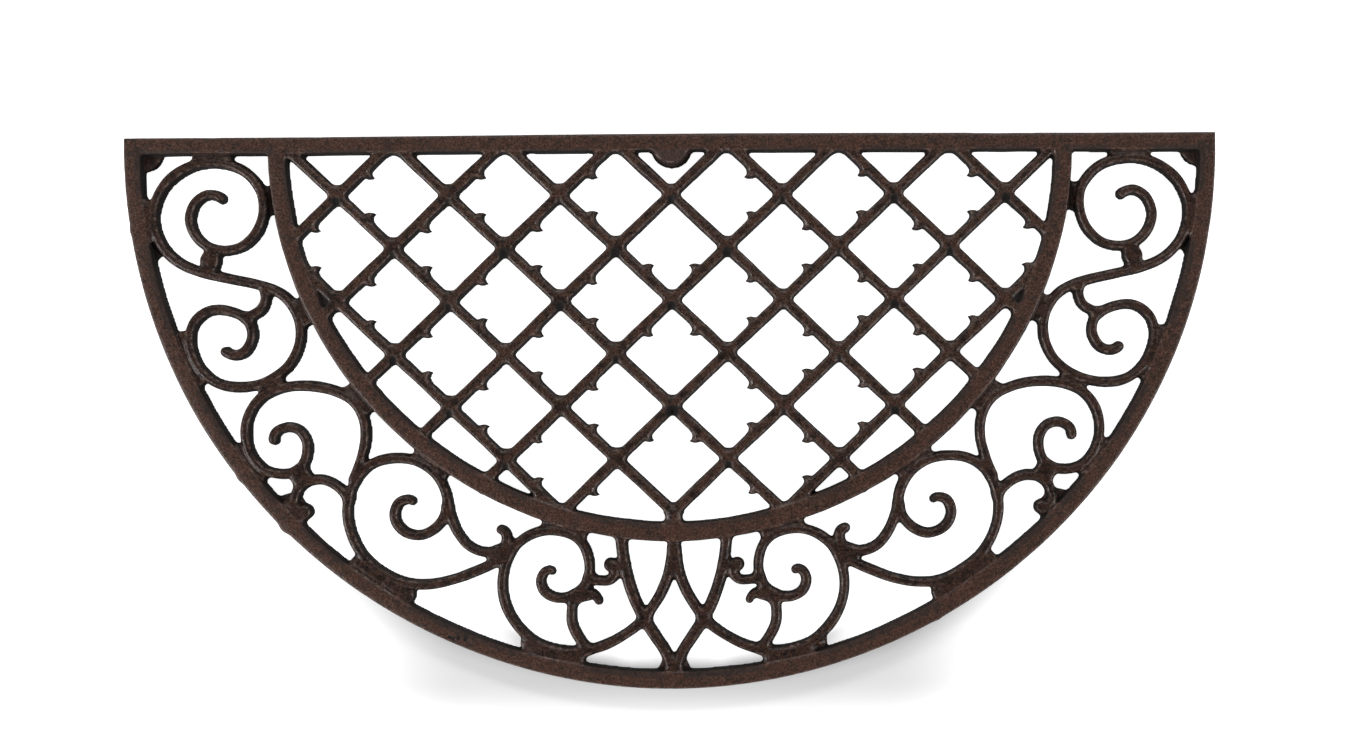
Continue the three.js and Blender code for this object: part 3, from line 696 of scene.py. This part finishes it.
# Feet: their radii, and how far in from the frame they stand
FOOT_RADIUS = 12.5
SMALL_FOOT_RADIUS = 11.0
FRONT_FOOT_RADIUS = 10.4
FRONT_FOOT_INSET = -0.8
CORNER_FOOT_INSET = (10.4, 3.5)
SIDE_FOOT_ANGLE = math.radians(43.4)
SIDE_FOOT_INSET = 4.0
LUG_INSET = 2.5
side_foot_reach = rim_centre - SIDE_FOOT_INSET
front_foot = disc(0, -rim_inner + FRONT_FOOT_INSET, FRONT_FOOT_RADIUS, FOOT_PROFILE)
members.append(Member("front_foot", [front_foot]))
for side, hand in SIDES:
    corner = side * (RIM_RADIUS - CORNER_FOOT_INSET[0]), -CORNER_FOOT_INSET[1]
    beside = side * side_foot_reach * math.cos(SIDE_FOOT_ANGLE), -side_foot_reach * math.sin(SIDE_FOOT_ANGLE)
    members.append(Member(f"corner_foot_{hand}", [disc(*corner, FOOT_RADIUS, FOOT_PROFILE)]))
    members.append(Member(f"side_foot_{hand}", [disc(*beside, SMALL_FOOT_RADIUS, FOOT_PROFILE)]))
back_foot = disc(0, -LUG_INSET, FOOT_RADIUS, FOOT_PROFILE)
lug = disc(0, -LUG_INSET, FOOT_RADIUS, LUG_PROFILE)
lug.plan = np.maximum(lug.plan, grid_y[lug.window])
members.append(Member("back_foot_and_lug", [back_foot, lug]))


def trim(field, z):
    """Cut a field off at the mat's outline, which leans in and rounds over as the frame does."""
    return np.maximum(field, outline_plan + FRAME_PROFILE.inset(z - lift))


def whole_field(z):
    """The field of all members together, at one height or at a height for each point of the plan."""
    whole = np.full(GRID, FAR)
    for member in members:
        whole[member.window] = blend_in(whole[member.window], member.field(z), JOIN)
    return trim(whole, z)


# Which member each point of the grid belongs to: the first that holds it, or the nearest in a fillet
whole = np.empty((len(LEVELS), *GRID))
owner = np.zeros((len(LEVELS), *GRID), np.int16)
own_fields = [np.full((len(LEVELS), *grid_x[member.window].shape), FAR, np.float32) for member in members]
for level, z in enumerate(LEVELS):
    total = np.full(GRID, FAR)
    first = np.zeros(GRID, np.int16)
    nearest = np.zeros(GRID, np.int16)
    least = np.full(GRID, FAR)
    for number, member in enumerate(members, 1):
        if z < UNDERSIDE and not (member.is_foot and z > 0):
            continue
        window = member.window
        field = member.field(float(z))
        own_fields[number - 1][level] = field
        total[window] = blend_in(total[window], field, JOIN)
        first[window] = np.where((field < 0) & (first[window] == 0), number, first[window])
        nearest[window] = np.where(field < least[window], number, nearest[window])
        least[window] = np.minimum(least[window], field)
    whole[level] = trim(total, float(z))
    owner[level] = np.where(whole[level] < 0, np.where(first > 0, first, nearest), 0)

# How high the casting stands at each point in plan, found by halving from just above the underside
HALVINGS = 20
JUST_ABOVE = 0.01
low = np.full(GRID, UNDERSIDE + JUST_ABOVE)
high = np.full(GRID, LEVELS[-1])
standing = whole_field(low) < 0
for _ in range(HALVINGS):
    middle = (low + high) / 2
    holds = whole_field(middle) < 0
    low, high = np.where(holds, middle, low), np.where(holds, high, middle)
top_height = np.where(standing, low, UNDERSIDE)

# The lattice has too many faces for one piece: its right half is a piece of its own
names = [member.name for member in members]
lattice_number = names.index("lattice_panel") + 1
right_lattice_number = len(members) + 1
owner = np.where((owner == lattice_number) & (grid_x > 0), right_lattice_number, owner).astype(np.int16)


def source_number(number):
    return np.where(number == right_lattice_number, lattice_number, number)


# Where the surface crosses the grid's lines
cell_shape = tuple(n - 1 for n in owner.shape)
cell_count = int(np.prod(cell_shape))
sums = {kind: np.zeros((3, cell_count)) for kind in ("outer", "inner")}
counts = {kind: np.zeros(cell_count) for kind in ("outer", "inner")}
quads, quad_owners = [], []
# The four cells round a crossed line, as steps along the two axes across it, and these axes for each axis
AROUND = (0, 0), (1, 0), (1, 1), (0, 1)
ACROSS = (2, 1), (0, 2), (1, 0)
# The surface keeps this share of a step, and this height, from the grid's points
LEAST_SHARE = 0.02
LEAST_HEIGHT = 0.02


def own_values(number, at):
    """The member's own field at points of the grid."""
    rows, columns = members[number - 1].window
    fields = own_fields[number - 1]
    row, column = at[1] - rows.start, at[2] - columns.start
    fits = (row >= 0) & (column >= 0) & (row < fields.shape[1]) & (column < fields.shape[2])
    return np.where(fits, fields[at[0], row * fits, column * fits], np.float32(FAR))


def crossing_share(at, after, a, b):
    """How far along each crossed grid line, from a point of owner a to one of owner b, the surface lies."""
    outside = (a == 0) | (b == 0)
    share = np.full(len(a), 0.5)
    share[outside] = (whole[at] / np.where(whole[at] == whole[after], 1, whole[at] - whole[after]))[outside]
    earlier = np.where(outside, 0, np.minimum(source_number(a), source_number(b)))
    for number in np.unique(earlier[~outside]):
        chosen = np.flatnonzero(earlier == number)
        start, end = (own_values(number, [index[chosen] for index in points]) for points in (at, after))
        changes = (start < 0) != (end < 0)
        share[chosen[changes]] = start[changes] / (start[changes] - end[changes])
    return np.clip(share, LEAST_SHARE, 1 - LEAST_SHARE)


for axis in range(3):
    here, there = [slice(None)] * 3, [slice(None)] * 3
    here[axis], there[axis] = slice(0, -1), slice(1, None)
    at = np.nonzero(owner[tuple(here)] != owner[tuple(there)])
    after = tuple(index + (i == axis) for i, index in enumerate(at))
    a, b = owner[at], owner[after]
    share = crossing_share(at, after, a, b)
    place = [LEVELS[at[0]], ys[at[1]], xs[at[2]]]
    if axis == 0:
        # Tops lie at their own height, and the undersides of the feet and of the casting are flat
        z0, z1 = LEVELS[at[0]], LEVELS[at[0] + 1]
        is_top = (a > 0) & (b == 0) & (at[0] > 1)
        top = np.clip(top_height[at[1], at[2]], z0 + LEAST_HEIGHT, z1 - LEAST_HEIGHT)
        z = np.where(is_top, top, z0 + share * (z1 - z0))
        z = np.where(at[0] == 0, 0.0, z)
        place[0] = np.where((at[0] == 1) & (b > 0), UNDERSIDE, z)
    else:
        place[axis] = place[axis] + STEP * share
    outside = (a == 0) | (b == 0)
    corners = []
    for steps in AROUND:
        cell = list(at)
        for across, step in zip(ACROSS[axis], steps):
            cell[across] = cell[across] - 1 + step
        index = np.ravel_multi_index(tuple(cell), cell_shape)
        corners.append(index)
        for kind, chosen in (("outer", outside), ("inner", ~outside)):
            counts[kind] += np.bincount(index[chosen], minlength=cell_count)
            for i, values in enumerate((place[2], place[1], place[0])):
                sums[kind][i] += np.bincount(index[chosen], weights=values[chosen], minlength=cell_count)
    quads.append(np.stack(corners, 1))
    quad_owners.append(np.stack([a, b], 1))

quads = np.vstack(quads)
quad_owners = np.vstack(quad_owners)
on_surface = counts["outer"] > 0
count = np.where(on_surface, counts["outer"], np.maximum(counts["inner"], 1))
vertices = (np.where(on_surface, sums["outer"], sums["inner"]) / count).T

# Normals of the whole surface, so that the shading runs on from piece to piece
outer_quads = np.where(quad_owners[:, :1] > 0, quads, quads[:, ::-1])
outer_quads = outer_quads[(quad_owners == 0).any(1)]
corner_points = [vertices[outer_quads[:, i]] for i in range(4)]
face_normals = np.cross(corner_points[2] - corner_points[0], corner_points[3] - corner_points[1])
normals = np.zeros((cell_count, 3))
for i in range(4):
    for j in range(3):
        normals[:, j] += np.bincount(outer_quads[:, i], weights=face_normals[:, j], minlength=cell_count)
lengths = np.linalg.norm(normals, axis=1, keepdims=True)
normals = normals / np.where(lengths == 0, 1, lengths)


# Painted shade in hollows: how hemmed in each point is by iron that stands higher, 0 to 1
def blurred(values, reach):
    """Values spread over about reach millimetres."""
    cells = max(int(reach / STEP), 1)
    for _ in range(2):
        for axis in (0, 1):
            padding = [(0, 0), (0, 0)]
            padding[axis] = (cells + 1, cells)
            total = np.cumsum(np.pad(values, padding, mode="edge"), axis=axis)
            after = np.take(total, np.arange(2 * cells + 1, total.shape[axis]), axis=axis)
            before = np.take(total, np.arange(0, total.shape[axis] - 2 * cells - 1), axis=axis)
            values = (after - before) / (2 * cells + 1)
    return values


# The painted shade along the frame's inner edges thins out where the frame joins the rest at this layer, over
# about this reach
JOINED_LEVEL = 5
JOINT_REACH = 3.5
# Painted shade gathers where nearby iron stands higher: how much higher makes it full, and how far it reaches
PAINTED_SHADE_RISE, PAINTED_SHADE_REACH = 2.5, 2.2
PAINTED_SHADE_LEVELS = np.array([0.0, 4.0, 7.0, 9.5, 11.5, 13.0, 14.2, 15.5])
# How far past a frame member's sides its painted shade goes
INNER_SHADE_ROOM = 2


def inner_painted_shade(outward, half_width, start, end, strength):
    """Painted shade along the inner half of a frame member: full where outward is under start, gone at end.
    """
    share = np.clip((end - outward) / (end - start), 0, 1)
    return np.where(np.abs(outward) < half_width + INNER_SHADE_ROOM, share**2 * (3 - 2 * share) * strength, 0)


from_round = [np.where(grid_y < 0, distance, FAR) for distance in (from_rim, from_arch)]
# Painted shade along the inner edges of the rim, the arch and the back bar
painted_shade_and_scar_plan = np.max([
    inner_painted_shade(from_round[0], RIM_WIDTH / 2, start=-2.4, end=0.5, strength=0.38),
    inner_painted_shade(from_round[1], ARCH_WIDTH / 2, start=-3.8, end=0.0, strength=0.36),
    inner_painted_shade(warped_y, BAR_WIDTH / 2, start=-4.0, end=-0.5, strength=0.36),
], axis=0)
joined = np.zeros(GRID)
for member, fields in zip(members[frame_count:], own_fields[frame_count:]):
    joined[member.window] = np.maximum(joined[member.window], fields[JOINED_LEVEL] < 0)
# The rim's scars and the painted shade of pits and pockets join it
painted_shade_and_scar_plan = painted_shade_and_scar_plan * np.clip(1 - 2 * blurred(joined, JOINT_REACH), 0, 1) + scars_and_painted_pit_shade
standing_height = np.where(standing, top_height, 0.0)
# Painted shade for each layer: in hollows, along the frame's inner edges and in pits, with the rim's scars
above = [np.clip((standing_height - z) / PAINTED_SHADE_RISE, 0, 1) for z in PAINTED_SHADE_LEVELS]
painted_shade_and_scar_maps = np.array([blurred(share, PAINTED_SHADE_REACH) + painted_shade_and_scar_plan for share in above])


def sampled(maps, levels, points):
    """Maps over the grid, one for each level, read at points between them."""
    place = [np.interp(points[:, 2], levels, np.arange(len(levels))),
             (points[:, 1] - ys[0]) / STEP, (points[:, 0] - xs[0]) / STEP]
    first = [np.clip(np.floor(v).astype(int), 0, size - 2) for v, size in zip(place, maps.shape)]
    share = [v - f for v, f in zip(place, first)]
    total = 0
    for corner in np.ndindex(2, 2, 2):
        weight = np.prod([s if c else 1 - s for s, c in zip(share, corner)], axis=0)
        total = total + weight * maps[tuple(f + c for f, c in zip(first, corner))]
    return total


def piece(name, number, material):
    """The closed mesh of one member."""
    mine = np.vstack([quads[quad_owners[:, 0] == number], quads[quad_owners[:, 1] == number][:, ::-1]])
    used, faces = np.unique(mine, return_inverse=True)
    faces = faces.reshape(-1, 4)
    points = vertices[used] * MM
    points[:, 1] += ROW_OFFSET * MM
    mesh = bpy.data.meshes.new(name)
    mesh.from_pydata(points.tolist(), [], faces.tolist(), shade_flat=False)
    mesh.validate()
    # Each point carries the painted shade of hollows, inner edges and pits, with the rim's scars
    soot = mesh.attributes.new("soot", "FLOAT", "POINT")
    soot.data.foreach_set("value", sampled(painted_shade_and_scar_maps, PAINTED_SHADE_LEVELS, vertices[used]).astype(np.float32))
    own = np.array([normal.vector for normal in mesh.vertex_normals])
    shading = np.where(lengths[used] > 0, normals[used], own)
    mesh.normals_split_custom_set_from_vertices(shading.tolist())
    mesh.materials.append(material)
    obj = bpy.data.objects.new(name, mesh)
    bpy.context.scene.collection.objects.link(obj)
    return obj


# Materials
def node(tree, kind, links=(), **settings):
    """A shader node. links gives the source of each input: another node's output, or a plain value."""
    made = tree.nodes.new(f"ShaderNode{kind}")
    for key, value in settings.items():
        setattr(made, key, value)
    for socket, source in dict(links).items():
        if isinstance(source, (int, float, tuple)):
            made.inputs[socket].default_value = source
        else:
            tree.links.new(source, made.inputs[socket])
    return made


def ramp(tree, value, stops):
    """The grey that the stops give at value."""
    made = node(tree, "ValToRGB", {0: value})
    elements = made.color_ramp.elements
    while len(elements) < len(stops):
        elements.new(0.5)
    for element, (position, grey) in zip(elements, stops):
        element.position = position
        element.color = (grey, grey, grey, 1)
    return made.outputs[0]


def shade(red, green, blue):
    """A colour as it is on a screen, 0 to 255, turned into light by the sRGB rule."""
    return tuple(((v / 255 + 0.055) / 1.055) ** 2.4 if v > 10 else v / 255 / 12.92
                 for v in (red, green, blue)) + (1,)


def mixed(tree, share, first, second, blend="MIX"):
    return node(tree, "Mix", {"Factor": share, "A": first, "B": second},
                data_type="RGBA", blend_type=blend).outputs["Result"]


def noise(tree, where, scale, detail=4.0, roughness=0.6):
    return node(tree, "TexNoise",
                {"Vector": where, "Scale": scale, "Detail": detail, "Roughness": roughness}).outputs[0]


def eased(tree, value, start, end, low=0.0, high=1.0):
    """Low where value is at start, high where it is at end, and eased between them."""
    return node(tree, "MapRange", {"Value": value, "From Min": start, "From Max": end,
                                   "To Min": low, "To Max": high},
                interpolation_type="SMOOTHSTEP").outputs[0]


def combined(tree, first, second, operation="MULTIPLY"):
    return node(tree, "Math", {0: first, 1: second}, operation=operation).outputs[0]


# Where in its noise each mark begins and is full, and how much of a rust stain shows
PATCH_RANGE = 0.48, 0.62
STAIN_RANGE, STAIN_SHARE = (0.5, 0.7), 0.4
SCORCH_RANGE = 0.52, 0.66
WEAR_AND_HIGHLIGHT_RANGE = 0.48, 0.62
# What the colour is multiplied by at values of the grain's noise
GRAIN_STOPS = (0.36, 0.45), (0.5, 1.0), (0.64, 1.9)
# How far up a face looks, 1 for level and 0 for upright, where wear and a painted highlight begin and are
# full: coming from level faces, and from upright ones. Then the same for the painted shade of upright faces.
ARRIS_RANGE, LOW_ARRIS_RANGE = (0.98, 0.8), (0.25, 0.6)
SIDE_RANGE = 0.55, 0.2
# Worn arrises: the shade of their wear and painted highlight, how much of it shows, and how much smoother
# they are
WEAR_AND_HIGHLIGHT_SHADE, WEAR_AND_HIGHLIGHT_SHARE, WORN_GLOSS = (135, 115, 106), 0.46, 0.16
# Painted shade: where it begins and is full, how much the sand breaks its edge up, and how much rougher it is
PAINTED_SHADE_RANGE, SAND_IN_PAINTED_SHADE, ROUGHNESS_IN_PAINTED_SHADE = (0.42, 0.85), 0.35, 0.5
# How far the grain takes the roughness down and up
SMOOTHER, ROUGHER = 0.08, 0.1


def cast_iron(name, top, mottle, rust, recess, burnt, roughness, specular):
    """Sand-cast iron under old dark wax: brown, charcoal and rusty patches, fine grain, worn arrises.

    Top, mottle, rust and recess are shades. Burnt says how much of the recess shade scorched patches take.
    The recess shade is also painted shade in hollows and on steep sides, and the arrises' lighter shade is
    wear and a painted highlight.
    """
    material = bpy.data.materials.new(name)
    material.use_nodes = True
    tree = material.node_tree
    shader = tree.nodes["Principled BSDF"]
    where = node(tree, "TexCoord").outputs["Object"]
    normal = node(tree, "NewGeometry").outputs["Normal"]
    upward = node(tree, "SeparateXYZ", {0: normal}).outputs["Z"]
    soot = node(tree, "Attribute", attribute_name="soot").outputs["Fac"]

    patches = noise(tree, where, scale=210.0, detail=6.0, roughness=0.7)
    stains = noise(tree, where, scale=42.0, detail=3.0)
    scorches = noise(tree, where, scale=100.0)
    grain = noise(tree, where, scale=850.0, detail=3.0, roughness=0.65)
    sand = noise(tree, where, scale=330.0, detail=3.0, roughness=0.55)

    colour = mixed(tree, eased(tree, patches, *PATCH_RANGE), shade(*top), shade(*mottle))
    colour = mixed(tree, eased(tree, stains, *STAIN_RANGE, high=STAIN_SHARE), colour, shade(*rust))
    colour = mixed(tree, eased(tree, scorches, *SCORCH_RANGE, high=burnt), colour, shade(*recess))
    colour = mixed(tree, 1.0, colour, ramp(tree, grain, GRAIN_STOPS), "MULTIPLY")
    # Arrises get a lighter shade where the sand stands up: wear, and a painted highlight
    arris = combined(tree, eased(tree, upward, *ARRIS_RANGE), eased(tree, upward, *LOW_ARRIS_RANGE))
    wear_and_highlight = combined(tree, arris, eased(tree, sand, *WEAR_AND_HIGHLIGHT_RANGE))
    colour = mixed(tree, combined(tree, wear_and_highlight, WEAR_AND_HIGHLIGHT_SHARE), colour, shade(*WEAR_AND_HIGHLIGHT_SHADE))
    # Painted shade in hollows and on steep sides, in the recess shade
    painted_hollow_shade = eased(tree, combined(tree, soot, combined(tree, sand, SAND_IN_PAINTED_SHADE), "ADD"), *PAINTED_SHADE_RANGE)
    painted_shade_share = combined(tree, painted_hollow_shade, eased(tree, upward, *SIDE_RANGE), "MAXIMUM")
    colour = mixed(tree, painted_shade_share, colour, shade(*recess))
    tree.links.new(colour, shader.inputs["Base Color"])

    grainy = eased(tree, grain, 0.3, 0.7, roughness - SMOOTHER, roughness + ROUGHER)
    rough = combined(tree, grainy, eased(tree, wear_and_highlight, 0.0, 1.0, high=WORN_GLOSS), "SUBTRACT")
    rough = combined(tree, rough, eased(tree, painted_shade_share, 0.0, 1.0, high=ROUGHNESS_IN_PAINTED_SHADE), "ADD")
    tree.links.new(rough, shader.inputs["Roughness"])
    shader.inputs["Specular IOR Level"].default_value = specular
    coarse = node(tree, "Bump", {"Height": sand, "Strength": 0.5, "Distance": 0.0009})
    fine = node(tree, "Bump", {"Height": grain, "Strength": 0.35, "Distance": 0.0004,
                               "Normal": coarse.outputs[0]})
    tree.links.new(fine.outputs[0], shader.inputs["Normal"])
    return material


SLOT_LOOKS = {
    "frame_iron": dict(top=(67, 45, 36), mottle=(50, 36, 30), rust=(72, 46, 37), recess=(19, 12, 9),
                       burnt=0.2, roughness=0.4, specular=0.35),
    "lattice_iron": dict(top=(63, 45, 37), mottle=(33, 25, 21), rust=(70, 46, 38), recess=(14, 9, 7),
                         burnt=0.6, roughness=0.32, specular=0.3),
    "scroll_iron": dict(top=(54, 37, 30), mottle=(30, 22, 19), rust=(62, 39, 32), recess=(15, 9, 7),
                        burnt=0.6, roughness=0.34, specular=0.26),
    # The feet's recess shade is lighter, so the painted shade on them is weaker
    "foot_iron": dict(top=(58, 38, 32), mottle=(42, 30, 27), rust=(66, 40, 33), recess=(42, 28, 24),
                      burnt=0.2, roughness=0.6, specular=0.4),
}
materials = {slot: cast_iron(slot, **look) for slot, look in SLOT_LOOKS.items()}
slot_of = {row["node"]: row["material_slot"] for row in frame["record"]["subparts"]}

labels = {lattice_number: "cast_lattice_left", right_lattice_number: "cast_lattice_right"}
for number, name in enumerate([*names, "lattice_panel"], 1):
    made = piece(labels.get(number, f"cast_{name}"), number, materials[slot_of[name]])
    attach(made, "root")
    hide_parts(name)

# Floor, world and lamps
FLOOR_SIZE = 12.0
floor_mesh = bpy.data.meshes.new("floor")
half = FLOOR_SIZE / 2
floor_corners = [(-half, -half, 0), (half, -half, 0), (half, half, 0), (-half, half, 0)]
floor_mesh.from_pydata(floor_corners, [], [(0, 1, 2, 3)])
floor = bpy.data.objects.new("floor", floor_mesh)
bpy.context.scene.collection.objects.link(floor)

# The floor's glow: white, half white, and dim where the photograph shows the mat's shadow. Iron mirrors less
# of it.
WHITE, HALF_WHITE, DIM = 0.97, 0.56, 0.04
GLOW_IN_GLOSS = 0.2
# Where the glow changes, in metres: ahead of the rim's front, past the rim and inside it, then in the plan
AHEAD_RANGE, PAST_RANGE = (0.005, -0.04), (0.03, 0.3)
INSIDE_RANGE, EDGE_RANGE = (-0.026, -0.004), (-0.008, -0.001)
SIDE_RANGE_AHEAD, SIDE_RANGE_INSIDE = (0.14, 0.29), (0.06, 0.13)
BACK_RANGE = -0.1, 0.0


def floor_glow(tree, where):
    """The glow that the camera sees: dim along the rim's front, and rising from there."""
    middle = (0.0, ROW_OFFSET * MM, 0.0)
    from_middle = node(tree, "VectorMath", {0: where, 1: middle}, operation="SUBTRACT").outputs[0]
    radius = node(tree, "VectorMath", {0: from_middle}, operation="LENGTH").outputs["Value"]
    along = node(tree, "SeparateXYZ", {0: where})
    sideways = combined(tree, along.outputs["X"], 0.0, "ABSOLUTE")
    front = (ROW_OFFSET - RIM_RADIUS) * MM
    ahead = eased(tree, along.outputs["Y"], *(front + at for at in AHEAD_RANGE), 0.0, HALF_WHITE)
    past, inside, edge = (eased(tree, radius, *(RIM_RADIUS * MM + at for at in places), low, high)
                          for places, low, high in ((PAST_RANGE, DIM, 1.0), (INSIDE_RANGE, WHITE, DIM),
                                                    (EDGE_RANGE, 1.0, DIM)))
    glow = combined(tree, ahead, eased(tree, sideways, *SIDE_RANGE_AHEAD, DIM, WHITE), "ADD")
    beside = combined(tree, eased(tree, sideways, *SIDE_RANGE_INSIDE, DIM, WHITE), edge, "MINIMUM")
    behind = eased(tree, along.outputs["Y"], *BACK_RANGE, DIM, WHITE)
    for other in (beside, past, inside, behind):
        glow = combined(tree, glow, other, "MAXIMUM")
    return glow


paper = bpy.data.materials.new("paper")
paper.use_nodes = True
tree = paper.node_tree
tree.nodes.clear()
output = node(tree, "OutputMaterial")
diffuse = node(tree, "BsdfDiffuse", {"Color": (0.8, 0.8, 0.8, 1)})
seen_glow = floor_glow(tree, node(tree, "TexCoord").outputs["Object"])
path = node(tree, "LightPath")
strength = node(tree, "Mix", {"Factor": path.outputs["Is Camera Ray"], "A": GLOW_IN_GLOSS,
                              "B": seen_glow}).outputs["Result"]
glow = node(tree, "Emission", {"Color": (1, 1, 1, 1), "Strength": strength})
both = node(tree, "AddShader", {0: diffuse.outputs[0], 1: glow.outputs[0]})
shown = combined(tree, path.outputs["Is Camera Ray"], path.outputs["Is Glossy Ray"], "MAXIMUM")
shown = combined(tree, shown, path.outputs["Is Transmission Ray"], "MAXIMUM")
pick = node(tree, "MixShader", {0: shown, 1: diffuse.outputs[0], 2: both.outputs[0]})
tree.links.new(pick.outputs[0], output.inputs[0])
floor_mesh.materials.append(paper)

# The studio is bright low down and in front, and dark above
SKY_TILT = 0.15
SKY_STOPS = (0.0, 1.0), (0.1, 1.0), (0.2, 0.4), (0.5, 0.25), (1.0, 0.08)
world = bpy.data.worlds.new("studio")
bpy.context.scene.world = world
world.use_nodes = True
tree = world.node_tree
background = tree.nodes["Background"]
generated = node(tree, "TexCoord").outputs["Generated"]
direction = node(tree, "SeparateXYZ", {0: generated})
above = node(tree, "Math", {0: direction.outputs["Y"], 1: SKY_TILT, 2: direction.outputs["Z"]},
             operation="MULTIPLY_ADD").outputs[0]
tree.links.new(ramp(tree, above, SKY_STOPS), background.inputs["Color"])

# Each lamp's place and size in metres, and its power in watts. All look at the frame's origin.
LAMPS = {
    "left": ((-1.7, -0.6, 1.15), (1.0, 0.3), 28),
    "right": ((1.7, -0.6, 1.15), (1.0, 0.3), 20),
    "back": ((0.1, 1.5, 1.45), (1.8, 0.3), 12.5),
}


def lamp(name, place, size, power):
    data = bpy.data.lights.new(name, "AREA")
    data.shape = "RECTANGLE"
    data.size, data.size_y = size
    data.energy = power
    made = bpy.data.objects.new(name, data)
    made.location = place
    made.rotation_euler = (-made.location).to_track_quat("-Z", "Y").to_euler()
    bpy.context.scene.collection.objects.link(made)


for name, look in LAMPS.items():
    lamp(name, *look)

bpy.context.scene.view_settings.view_transform = "Standard"
